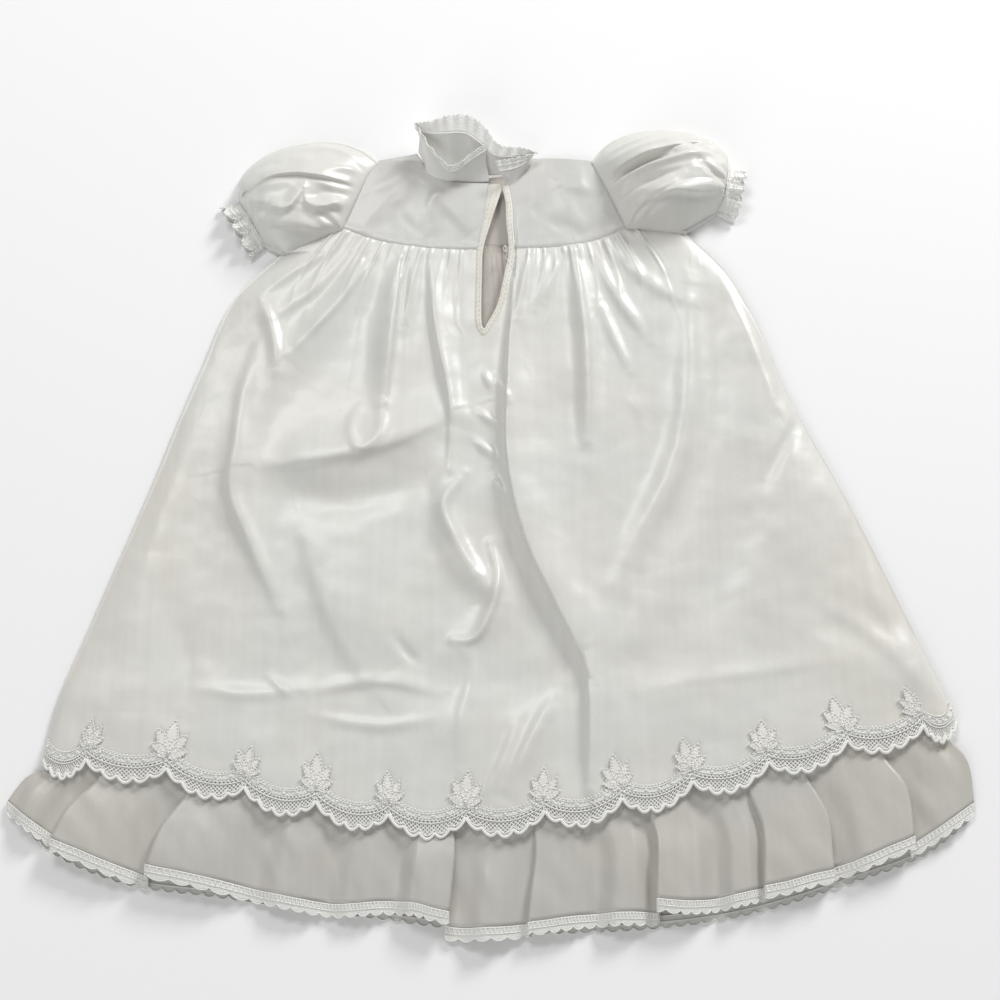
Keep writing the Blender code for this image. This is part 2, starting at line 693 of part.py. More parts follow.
def sleeve_fold(sleeve, u, v):
    """The sleeve's folds and gathers: they run along it, strongest at the armhole and the cuff."""
    part, share = around(u)
    if part != "top":
        return 0
    folds = sleeve.folds
    height = np.interp(share, lines(len(folds) - 1), folds)
    gather = SLEEVE_GATHER * (-1) ** round(share * TOP_COLUMNS) * (abs(2 * v - 1) ** 2)
    window = math.sqrt(math.sin(math.pi * share)) if 0 < share < 1 else 0
    return (height + gather) * window * smooth_step(0, FOLD_START, v)


def sleeve_height(sleeve, u, v, armhole):
    """The height of the sleeve's top over its length: low at the armhole, crowned, low at the cuff."""
    puff = math.sin(math.pi * v / PUFF_END) ** PUFF_ROUND if v < PUFF_END else 0
    ends = armhole * (1 - v) + sleeve.cuff_height * v
    return max(ends + (sleeve.crown - ends) * puff, 2 * SLEEVE_ROLL)


def sleeves():
    for sleeve in SLEEVES:
        outward = np.array([-1 if sleeve.side == "left" else 1, 1]) * SLEEVE_CLEARANCE
        corner = np.array(YOKE_ARMHOLES[sleeve.side][-1])
        underarm = np.array(UNDERARMS[sleeve.side])
        armhole = joined(curve(YOKE_ARMHOLES[sleeve.side]), curve([corner, underarm]), ARMHOLE_SHARE)
        armhole = moved(armhole, *outward)
        upper = curve([np.array(sleeve.upper[0]) + outward, *sleeve.upper[1:]])
        lower = curve([underarm + outward, sleeve.lower[-1]])
        cuff = curve(sleeve.cuff)
        plan = panel(armhole, cuff, upper, lower)

        def tube(u, v, sleeve=sleeve, plan=plan, armhole=armhole):
            width = np.linalg.norm(plan(1, v) - plan(0, v))
            part, share = around(u)
            edge = armhole(share if part == "top" else 0)
            rim = back_under(*edge) + SATIN
            across, z = sleeve_section(u, width, sleeve_height(sleeve, u, v, rim))
            z = max(z + sleeve_fold(sleeve, u, v), 0)
            return (*plan(across, v), z)

        inwards = sleeve.side == "left"
        cloth(f"sleeve_{sleeve.side}", sleeve_columns(), lines(SLEEVE_ROWS), tube, "satin", RUFFLE, inwards)

        start, end = np.array(sleeve.cuff[0]), np.array(sleeve.cuff[-1])
        along = (end - start) / np.linalg.norm(end - start)
        out = np.array([along[1], -along[0]]) * (1 if sleeve.side == "left" else -1)

        def frill(u, v, sleeve=sleeve, cuff=cuff, along=along, out=out):
            width = np.linalg.norm(cuff(1) - cuff(0))
            across, z = sleeve_section(u, width, sleeve.cuff_height)
            flare = along * CUFF_FLARE * v * (2 * across - 1)
            x, y = cuff(across) + out * (SEAM_GAP + CUFF_LACE * v) + flare
            part, share = around(u)
            if part == "top":
                z += CUFF_WAVE * v * (-1) ** round(share * TOP_COLUMNS / 2) * math.sin(math.pi * share)
            return x, y, z

        cloth(f"cuff_lace_{sleeve.side}", sleeve_columns(), lines(CUFF_ROWS), frill, "lace", LACE, inwards)


def collar():
    """A stand band round the neck, open at the back, with a lace frill on its head."""
    foot = even_curve([row.foot for row in COLLAR])
    head = even_curve([row.head for row in COLLAR])
    edge = even_curve([row.edge for row in COLLAR])

    def band(u, v):
        return head(u) + (foot(u) - head(u)) * v

    def frill(u, v):
        rise = edge(u) - head(u)
        start = FRILL_GAP / np.linalg.norm(rise)
        return head(u) + rise * (1 - v * (1 - start))

    cloth("collar_band", lines(COLLAR_COLUMNS), lines(BAND_ROWS), band)
    cloth("collar_lace", lines(COLLAR_COLUMNS), lines(1), frill, "lace", LACE)


def placket():
    """The binding round the back opening, as one U from the neck down and up again."""
    outer = [(row.left_cloth + BINDING_GAP, row.y) for row in PLACKET]
    outer += [(PLACKET_CLOTH_END[0], PLACKET_CLOTH_END[1] + 2 * BINDING_GAP)]
    outer += [(row.right_cloth - BINDING_GAP, row.y) for row in reversed(PLACKET)]
    inner = [(row.left_hole, row.y) for row in PLACKET]
    inner += [PLACKET_HOLE_END]
    inner += [(row.right_hole, row.y) for row in reversed(PLACKET)]
    outer, inner, marks = np.array(outer), np.array(inner), lines(len(outer) - 1)

    def at(u, v):
        across = inner + (outer - inner) * v
        x, y = np.interp(u, marks, across[:, 0]), np.interp(u, marks, across[:, 1])
        return x, y, back_under(x, y) + BINDING_LIFT

    cloth("placket_binding", lines(BINDING_COLUMNS), lines(1), at, "binding", BINDING)


for old in list(bpy.data.objects):
    bpy.data.objects.remove(old)
GOWN = bpy.data.collections.new("christening_gown")
bpy.context.scene.collection.children.link(GOWN)
MATERIALS = {name: new_material(name) for name in COLOURS}

yokes()
skirts()
back_lace()
front_lace()
ruffles()
sleeves()
collar()
placket()
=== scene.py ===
# Looks of a baby's satin christening gown, laid flat with its back up.
# Tables are millimetres on the plan of the laid-out gown: x across, y up to the neck, z up.
import math
from collections import namedtuple

import bmesh
import bpy
import numpy as np
from mathutils import Matrix, Vector, noise


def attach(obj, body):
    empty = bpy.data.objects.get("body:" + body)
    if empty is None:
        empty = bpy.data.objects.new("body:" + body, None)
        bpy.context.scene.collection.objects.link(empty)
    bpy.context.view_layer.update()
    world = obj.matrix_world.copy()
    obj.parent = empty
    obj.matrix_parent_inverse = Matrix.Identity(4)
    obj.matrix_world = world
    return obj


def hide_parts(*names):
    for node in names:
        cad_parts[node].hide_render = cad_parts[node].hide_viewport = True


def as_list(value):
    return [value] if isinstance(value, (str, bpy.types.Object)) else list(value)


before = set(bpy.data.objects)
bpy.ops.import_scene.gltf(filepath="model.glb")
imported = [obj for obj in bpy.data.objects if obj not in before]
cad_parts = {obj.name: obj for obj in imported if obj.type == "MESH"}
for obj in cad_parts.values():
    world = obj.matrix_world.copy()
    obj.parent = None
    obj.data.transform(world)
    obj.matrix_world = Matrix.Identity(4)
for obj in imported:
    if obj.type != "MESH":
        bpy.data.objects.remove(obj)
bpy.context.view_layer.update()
mm = 0.001
middle = np.array([0.1, 1.2, 0.0])  # from the tables' zero to the middle of the gown
tuck = 1.2  # how far a piece reaches under the one it is sewn to


# Lines, curves and panels, all on whole arrays of points
def smoothLine(marks, values):
    marks, values = np.array(marks, float), np.array(values, float)
    slopes = np.gradient(values, marks, axis=0)

    def at(mark):
        mark = np.asarray(mark, float)
        k = np.clip(np.searchsorted(marks, mark) - 1, 0, len(marks) - 2)
        span = marks[k + 1] - marks[k]
        s = np.clip((mark - marks[k]) / span, 0, 1)
        if values.ndim == 2:
            s, span = s[..., None], span[..., None]
        early = (1 + 2 * s) * (1 - s) ** 2 * values[k] + s * (1 - s) ** 2 * span * slopes[k]
        late = s * s * (3 - 2 * s) * values[k + 1] - s * s * (1 - s) * span * slopes[k + 1]
        return early + late

    return at


def curve(points):
    points = np.array(points, float)
    steps = np.linalg.norm(np.diff(points, axis=0), axis=1)
    return smoothLine(np.concatenate([[0], np.cumsum(steps)]) / steps.sum(), points)


def evenCurve(points):
    return smoothLine(np.linspace(0, 1, len(points)), points)


def joined(first, second, share):
    def at(t):
        t = np.asarray(t, float)
        early = first(np.clip(t / share, 0, 1))
        late = second(np.clip((t - share) / (1 - share), 0, 1))
        return np.where((t < share)[..., None], early, late)

    return at


def moved(line, x, y):
    return lambda t: line(t) + np.array([x, y])


def panel(top, bottom, left, right):
    corners = [np.array(edge(end)) for edge in (top, bottom) for end in (0.0, 1.0)]

    def at(u, v):
        across, down = np.asarray(u, float)[..., None], np.asarray(v, float)[..., None]
        sides = (1 - across) * left(v) + across * right(v)
        ends = (1 - down) * top(u) + down * bottom(u)
        atTop = (1 - across) * corners[0] + across * corners[1]
        atBottom = (1 - across) * corners[2] + across * corners[3]
        return sides + ends - (1 - down) * atTop - down * atBottom

    return at


def rise(low, high, x):
    s = np.clip((x - low) / (high - low), 0, 1)
    return s * s * (3 - 2 * s)


def lineY(points):
    return smoothLine([x for x, _ in points], [y for _, y in points])


def sideX(points):
    line = smoothLine([-y for _, y in points], [x for x, _ in points])
    return lambda y: line(-y)


def stack(x, y, z):
    return np.stack(np.broadcast_arrays(x, y, z), axis=-1)


def raised(plan, z):
    return stack(plan[..., 0], plan[..., 1], z)


def ripple(points, size, height, seed):
    # small uneven wrinkles: the height of a smooth noise at each point of the plan
    found = [noise.noise(Vector((x / size, y / size, seed))) for x, y in points.reshape(-1, 2)]
    return height * np.array(found).reshape(points.shape[:-1])


# Folds and creases: path down the cloth, width on its left and right, height, and how far the
# ridge leans to its right. On a path that runs across, its right is the upper side.
foldRow = namedtuple("foldRow", "path left right height lean", defaults=(0.0,))
foldShape = {"steps": 22, "end": 0.04, "round": 0.6, "reach": 3.0}


def nearPath(path, x, y):
    best, share = np.full(x.shape, 1e12), np.zeros(x.shape)
    side, normal = np.zeros(x.shape), np.zeros(x.shape + (2,))
    for k, run in enumerate(np.diff(path, axis=0)):
        dx, dy = x - path[k][0], y - path[k][1]
        along = np.clip((dx * run[0] + dy * run[1]) / (run @ run), 0, 1)
        dx, dy = dx - along * run[0], dy - along * run[1]
        closer = dx * dx + dy * dy < best
        best = np.where(closer, dx * dx + dy * dy, best)
        share = np.where(closer, (k + along) / (len(path) - 1), share)
        side = np.where(closer, run[0] * dy - run[1] * dx, side)
        normal[closer] = np.array([-run[1], run[0]]) / np.linalg.norm(run)
    return np.sqrt(best), share, side, normal


def folded(table, x, y):
    height, shift = np.zeros(x.shape), np.zeros(x.shape + (2,))
    for row in (foldRow(*numbers) for numbers in table):
        path = curve(row.path)(np.linspace(0, 1, foldShape["steps"]))
        reach = foldShape["reach"] * max(row.left, row.right)
        low, high = path.min(axis=0) - reach, path.max(axis=0) + reach
        inside = (x > low[0]) & (x < high[0]) & (y > low[1]) & (y < high[1])
        if not inside.any():
            continue
        distance, share, side, normal = nearPath(path, x[inside], y[inside])
        width = np.where(side > 0, row.right, row.left)
        share = np.clip(share, foldShape["end"], 1 - foldShape["end"])
        shape = np.exp(-((distance / width) ** 2)) * np.sin(np.pi * share) ** foldShape["round"]
        height[inside] += row.height * shape
        shift[inside] += row.lean * shape[:, None] * normal
    return height, shift


# Meshes
def meshOf(name, sheet):
    mesh = bpy.data.meshes.new(name)
    sheet.to_mesh(mesh)
    sheet.free()
    return mesh


def linked(name, data):
    item = bpy.data.objects.new(name, data)
    bpy.context.scene.collection.objects.link(item)
    return item


def clothMesh(name, columns, rows, shape, rowAt=None, slitRows=0, uvSize=(1, 1)):
    sheet = bmesh.new()
    bmesh.ops.create_grid(sheet, x_segments=columns, y_segments=rows, size=0.5)
    if slitRows:
        low = 0.5 - (slitRows + 0.5) / rows
        slit = [e for e in sheet.edges if all(abs(p.co.x) < 1e-6 and p.co.y > low for p in e.verts)]
        bmesh.ops.split_edges(sheet, edges=slit)
        for point in sheet.verts:
            if abs(point.co.x) < 1e-6 and point.co.y > 0.5 - (slitRows - 0.5) / rows:
                facing = sum(face.calc_center_median().x for face in point.link_faces)
                point.co.x = math.copysign(1e-5, facing)
    mesh = meshOf(name, sheet)
    flat = np.empty(len(mesh.vertices) * 3)
    mesh.vertices.foreach_get("co", flat)
    flat = flat.reshape(-1, 3)
    u, v = flat[:, 0] + 0.5, 0.5 - flat[:, 1]
    if rowAt is not None:
        v = np.interp(v, *rowAt)
    points = shape(np.clip(u, 0, 1), v)
    mesh.vertices.foreach_set("co", ((points - middle) * mm).ravel())
    corners = np.empty(len(mesh.loops), int)
    mesh.loops.foreach_get("vertex_index", corners)
    uv = mesh.uv_layers.new(name="cloth")
    uv.data.foreach_set("uv", np.stack([u * uvSize[0], v * uvSize[1]], axis=-1)[corners].ravel())
    mesh.update()
    return mesh


def welded(mesh):
    sheet = bmesh.new()
    sheet.from_mesh(mesh)
    bmesh.ops.remove_doubles(sheet, verts=sheet.verts, dist=1e-6)
    sheet.to_mesh(mesh)
    sheet.free()
    return mesh


def addPiece(name, mesh, finish, nodes=(), wall=0.0, inwards=False):
    mesh.materials.append(finish)
    mesh.shade_smooth()
    piece = linked(name, mesh)
    if wall:
        solid = piece.modifiers.new("wall", "SOLIDIFY")
        solid.thickness, solid.offset = wall * mm, -1 if inwards else 1
    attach(piece, "root")
    if nodes:
        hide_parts(*nodes)
    return piece


def cords(name, lines, thickness, finish, closed=False):
    data = bpy.data.curves.new(name, "CURVE")
    data.dimensions, data.bevel_depth, data.bevel_resolution = "3D", thickness * mm / 2, 1
    data.use_fill_caps = not closed
    for line in lines:
        spline = data.splines.new("POLY")
        spline.points.add(len(line) - 1)
        spline.use_cyclic_u = closed
        for point, place in zip(spline.points, (np.asarray(line) - middle) * mm):
            point.co = (*place, 1)
    holder = linked(name + "Line", data)
    depsgraph = bpy.context.evaluated_depsgraph_get()
    mesh = bpy.data.meshes.new_from_object(holder.evaluated_get(depsgraph))
    bpy.data.objects.remove(holder)
    mesh.name = name
    mesh.materials.clear()
    return addPiece(name, welded(mesh), finish)


def beads(name, places, size, finish):
    lot = bmesh.new()
    for place in places:
        spot = Matrix.Translation((place - middle) * mm)
        bmesh.ops.create_icosphere(lot, subdivisions=1, radius=size * mm / 2, matrix=spot)
    return addPiece(name, meshOf(name, lot), finish)


def joinedMesh(name, meshes):
    lot = bmesh.new()
    for mesh in meshes:
        lot.from_mesh(mesh)
        bpy.data.meshes.remove(mesh)
    return meshOf(name, lot)


# Shader maths: numbers on a surface that Python's own signs work on
class shaderNumber:
    def __init__(self, nodes, socket):
        self.nodes, self.socket = nodes, socket

    def maths(self, operation, first, second=None):
        return self.nodes.number("ShaderNodeMath", {"operation": operation}, {0: first, 1: second})

    def __add__(self, other):
        return self.maths("ADD", self, other)

    def __mul__(self, other):
        return self.maths("MULTIPLY", self, other)

    def __sub__(self, other):
        return self.maths("SUBTRACT", self, other)

    def __rsub__(self, other):
        return self.maths("SUBTRACT", other, self)

    def __gt__(self, other):
        return self.maths("GREATER_THAN", self, other)

    __radd__ = __add__

    def sine(self):
        return self.maths("SINE", self)

    def size(self):
        return self.maths("ABSOLUTE", self)

    def most(self, other):
        return self.maths("MAXIMUM", self, other)

    def least(self, other):
        return self.maths("MINIMUM", self, other)


class finishNodes:
    def __init__(self, name):
        self.material = bpy.data.materials.new(name)
        self.material.use_nodes = True
        self.tree = self.material.node_tree
        self.shader = self.tree.nodes["Principled BSDF"]

    def add(self, kind, settings=None, sockets=None):
        node = self.tree.nodes.new(kind)
        for key, value in (settings or {}).items():
            setattr(node, key, value)
        for key, value in (sockets or {}).items():
            self.give(node.inputs[key], value)
        return node

    def give(self, socket, value):
        if isinstance(value, shaderNumber):
            value = value.socket
        if isinstance(value, bpy.types.NodeSocket):
            self.tree.links.new(value, socket)
        elif value is not None:
            socket.default_value = value

    def number(self, kind, settings=None, sockets=None):
        return shaderNumber(self, self.add(kind, settings, sockets).outputs[0])

    def axes(self, source):
        at = {0: self.add("ShaderNodeTexCoord").outputs[source]}
        parts = self.add("ShaderNodeSeparateXYZ", sockets=at).outputs
        return shaderNumber(self, parts[0]), shaderNumber(self, parts[1])

    def grain(self, scale, detail):
        sockets = {"Vector": self.add("ShaderNodeTexCoord").outputs["Object"], "Scale": scale}
        place = self.add("ShaderNodeMapping", sockets=sockets).outputs[0]
        sockets = {"Vector": place, "Scale": 1.0, "Detail": detail}
        return self.number("ShaderNodeTexNoise", sockets=sockets)

    def mixed(self, share, first, second):
        mix = self.add("ShaderNodeMix", {"data_type": "RGBA"})
        self.give(mix.inputs[0], share)
        self.give(mix.inputs[6], first)
        self.give(mix.inputs[7], second)
        return mix.outputs[2]

    def bump(self, height, depth, strength=1.0, under=None):
        sockets = {"Height": height, "Distance": depth, "Strength": strength, "Normal": under}
        return self.add("ShaderNodeBump", sockets=sockets).outputs[0]


def satinFinish(name, look):
    nodes = finishNodes(name)
    cloudy = nodes.grain((11, 11, 11), 3)
    streak = nodes.grain((look["streak"], 9, 9), 2)
    near, far = (*look["cool"], 1), (*look["warm"], 1)
    colour = nodes.mixed((cloudy - 0.35) * 2.2, near, far)
    x, y = nodes.axes("Object")
    aside = ((x.size() - 0.13 + y * 0.35) * 5).most(0).least(1) * (0.15 - y).most(0).least(0.2) * 3.5
    colour = nodes.mixed((aside * (0.4 + cloudy)).least(0.75), colour, (*look["cream"], 1))
    shade = 0.955 + streak * 0.09
    colour = nodes.add("ShaderNodeVectorMath", {"operation": "SCALE"}, {0: colour, "Scale": shade}).outputs[0]
    nodes.give(nodes.shader.inputs["Base Color"], colour)
    nodes.give(nodes.shader.inputs["Roughness"], look["rough"] - 0.06 + streak * 0.12)
    nodes.shader.inputs["Sheen Weight"].default_value = look["sheen"]
    nodes.shader.inputs["Sheen Roughness"].default_value = 0.4
    nodes.shader.inputs["Specular IOR Level"].default_value = look["gloss"]
    weave = nodes.grain((2600, 420, 900), 1)
    crush = (nodes.grain((38, 30, 34), 3) - 0.5).size()
    normal = nodes.bump(weave, 0.00006, look["weave"])
    normal = nodes.bump(1 - crush * 3, look["crush"] * mm, 0.6, normal)
    nodes.give(nodes.shader.inputs["Normal"], normal)
    return nodes.material


def threadFinish(name, colour, rough=0.7):
    nodes = finishNodes(name)
    twist = nodes.grain((2200, 2200, 2200), 1)
    tint = nodes.mixed(twist, (*[c * 0.9 for c in colour], 1), (*colour, 1))
    nodes.give(nodes.shader.inputs["Base Color"], tint)
    nodes.shader.inputs["Roughness"].default_value = rough
    nodes.shader.inputs["Sheen Weight"].default_value = 0.3
    nodes.give(nodes.shader.inputs["Normal"], nodes.bump(twist, 0.0002, 0.7))
    return nodes.material


def netFinish(name, look):
    # fine net on the piece's own map, whose units are millimetres: crossed threads and dots
    nodes = finishNodes(name)
    x, y = nodes.axes("UV")
    turn = math.pi / look["cell"]
    threads = ((x + y) * turn).sine().size().least(((x - y) * turn).sine().size())
    net = 1 - (threads > look["thread"])
    solid = (y > look["solidFrom"]) * (1 - (y > look["solidTo"]))
    opaque = net.most(solid * look["solidCover"]).most(look["veil"])
    nodes.give(nodes.shader.inputs["Alpha"], opaque)
    patchy = nodes.grain((600, 600, 600), 2)
    tint = nodes.mixed(patchy, (*[c * 0.88 for c in look["colour"]], 1), (*look["colour"], 1))
    nodes.give(nodes.shader.inputs["Base Color"], tint)
    nodes.shader.inputs["Roughness"].default_value = 0.8
    nodes.give(nodes.shader.inputs["Normal"], nodes.bump(patchy, 0.0004, 0.8))
    return nodes.material


satinLook = {"cool": (0.72, 0.72, 0.69), "warm": (0.725, 0.71, 0.655), "cream": (0.735, 0.70, 0.61),
             "rough": 0.35, "sheen": 0.2, "gloss": 0.58, "streak": 190, "weave": 0.25, "crush": 0.4}
satinTones = {
    "pearlSatin": {},
    # painted shade: the ruffle's copy of the satin is darker than the skirt's, for the shade under the
    # skirt's hem
    "ruffleSatinPaintedShade": {"cool": (0.54, 0.53, 0.495), "warm": (0.55, 0.53, 0.475), "cream": (0.56, 0.53, 0.46)},
    # painted shade: the yokes' copy of the satin is darker than the skirt's
    "yokeSatinPaintedShade": {"cool": (0.61, 0.61, 0.59), "warm": (0.615, 0.60, 0.56)},
    # painted light: the collar band's copy of the satin is lighter than the skirt's, for the light on its
    # near wall
    "bandSatinPaintedLight": {"cool": (0.82, 0.82, 0.795), "warm": (0.82, 0.81, 0.77)},
    # painted shade: the copy for the gown's inside, seen through the back opening, is darker and browner, for
    # the shade in there
    "satinSeenInsidePaintedShade": {"cool": (0.50, 0.465, 0.42), "warm": (0.56, 0.50, 0.45)},
    "creamFacing": {"cool": (0.76, 0.745, 0.675), "warm": (0.77, 0.74, 0.65), "rough": 0.5},
}
satin, ruffleSatinPaintedShade, yokeSatinPaintedShade, bandSatinPaintedLight, insideSatinPaintedShade, facing = (
    satinFinish(name, {**satinLook, **tones}) for name, tones in satinTones.items())
laceThread = threadFinish("laceThread", (0.93, 0.925, 0.89))
leafThread = threadFinish("leafThread", (0.86, 0.85, 0.805))
sewingThread = threadFinish("sewingThread", (0.84, 0.82, 0.76), 0.55)
netLook = {"cell": 2.6, "thread": 0.42, "solidFrom": -20.0, "solidTo": -1.2, "solidCover": 0.7,
           "veil": 0.15, "colour": (0.94, 0.935, 0.90)}
hemNet = netFinish("hemNet", netLook)
edgingNet = netFinish("edgingNet", {**netLook, "cell": 1.6, "thread": 0.5, "solidTo": 1.6, "veil": 0.5})
frillNet = netFinish("frillNet", {**netLook, "cell": 1.7, "thread": 0.5, "solidTo": -5.0, "veil": 0.75,
                                  "colour": (0.97, 0.965, 0.94)})
print("finishes made")

# Plan of the gown, as in the solids
shoulders = {"left": [(-84, 266), (-70, 269), (-55, 272)], "right": [(30, 268), (52, 268), (74, 266)]}
backNeck = {"left": [(-55, 272), (-50, 262), (-41, 252), (-29, 248), (-2, 246)],
            "right": [(12, 245), (19, 250), (26, 257), (30, 268)]}
frontNeck = [(-55, 272), (-42, 260), (-25, 255), (-5, 253), (15, 256), (30, 268)]
armholes = {"left": [(-84, 266), (-92, 252), (-99, 234), (-109, 209)],
            "right": [(74, 266), (80, 252), (88, 233), (98, 209)]}
underarms = {"left": (-152, 190), "right": (141, 207)}
yokeSeams = {"left": [(-109, 209), (-86, 200), (-47, 193), (-10.7, 192)],
             "right": [(16.8, 192), (52, 194), (78, 200), (98, 209)]}
frontSeam = [(-109, 209), (-50, 199), (0, 197), (50, 200), (98, 209)]
opening = namedtuple("opening", "y leftCloth leftHole rightHole rightCloth")
placket = [opening(245, -2.0, 6.6, 7.4, 12.0), opening(240, -3.0, 7.0, 8.0, 13.0),
           opening(229, -4.5, 4.0, 10.0, 15.0), opening(214, -6.5, -0.5, 10.5, 15.5),
           opening(192, -10.7, -6.2, 12.0, 16.8), opening(170, -11.2, -7.0, 8.5, 13.5),
           opening(149, -11.8, -7.3, 4.0, 9.0), opening(134, -11.0, -7.0, -3.2, 1.6)]
placketEnd = {"cloth": (-5.5, 125.5), "hole": (-5.2, 130.5)}
skirtSides = {
    "left": [(-152, 190), (-180, 161), (-205, 99), (-235, 10), (-265, -75), (-289, -148), (-293, -172)],
    "right": [(141, 207), (168, 177), (185, 145), (207, 84), (248, -4), (283, -88), (307, -147)],
}
hem = [(-293, -172), (-237, -175), (-136, -196), (-39, -211), (61, -203), (158, -181), (260, -155),
       (307, -147)]
scallopTops = (-293, -264, -211, -160, -113, -66, -16, 35, 85, 131, 181, 233, 284, 307)
ruffleSeam = [(-272, -136), (-205, -133), (-125, -140), (-27, -152), (72, -140), (164, -127), (231, -112),
              (283, -106)]
layers = {"overFront": 1.5, "overRuffles": 6.0, "backRise": 4.0, "riseLost": 0.6, "ruffleStart": 28.0,
          "ruffleFull": -2.0, "sideRoll": 10.0, "seamRoll": 4.0, "shoulderY": 269.0, "shoulderRoll": 12.0}
bigFolds = [
    ([(17, 165), (14, 29), (26, -28), (46, -74), (65, -117), (66, -194)], 6, 34, 7.0),
    ([(60, 190), (66, 111), (66, 30)], 8, 11, 5.5),
    ([(-66, 188), (-73, 126), (-75, 60)], 11, 8, 5.5),
    ([(-41, 189), (-35, 134), (-25, 50)], 8, 9, 4.0),
    ([(-84, 185), (-114, 142), (-145, 100)], 10, 12, 4.5),
    ([(-163, 149), (-152, 111), (-170, 51), (-168, 0), (-145, -63), (-137, -87)], 16, 12, 4.0),
    ([(-165, 26), (-104, 36), (-25, 66)], 18, 24, 7.0),
    ([(-100, 0), (-92, -60), (-60, -120)], 30, 34, 5.0),
    ([(142, 173), (134, 51), (87, -56)], 10, 12, 6.5),
    ([(190, 110), (205, 20), (190, -90)], 30, 26, 4.5),
    ([(-18, 60), (-32, -3), (-22, -40), (4, -70), (-24, -105)], 10, 10, 5.0),
    ([(-230, -30), (-238, -90), (-240, -150)], 22, 20, 4.0),
    ([(120, -40), (140, -110), (150, -170)], 24, 24, 3.5),
    ([(35, -150), (22, -180), (11, -205)], 9, 9, 3.0),
]
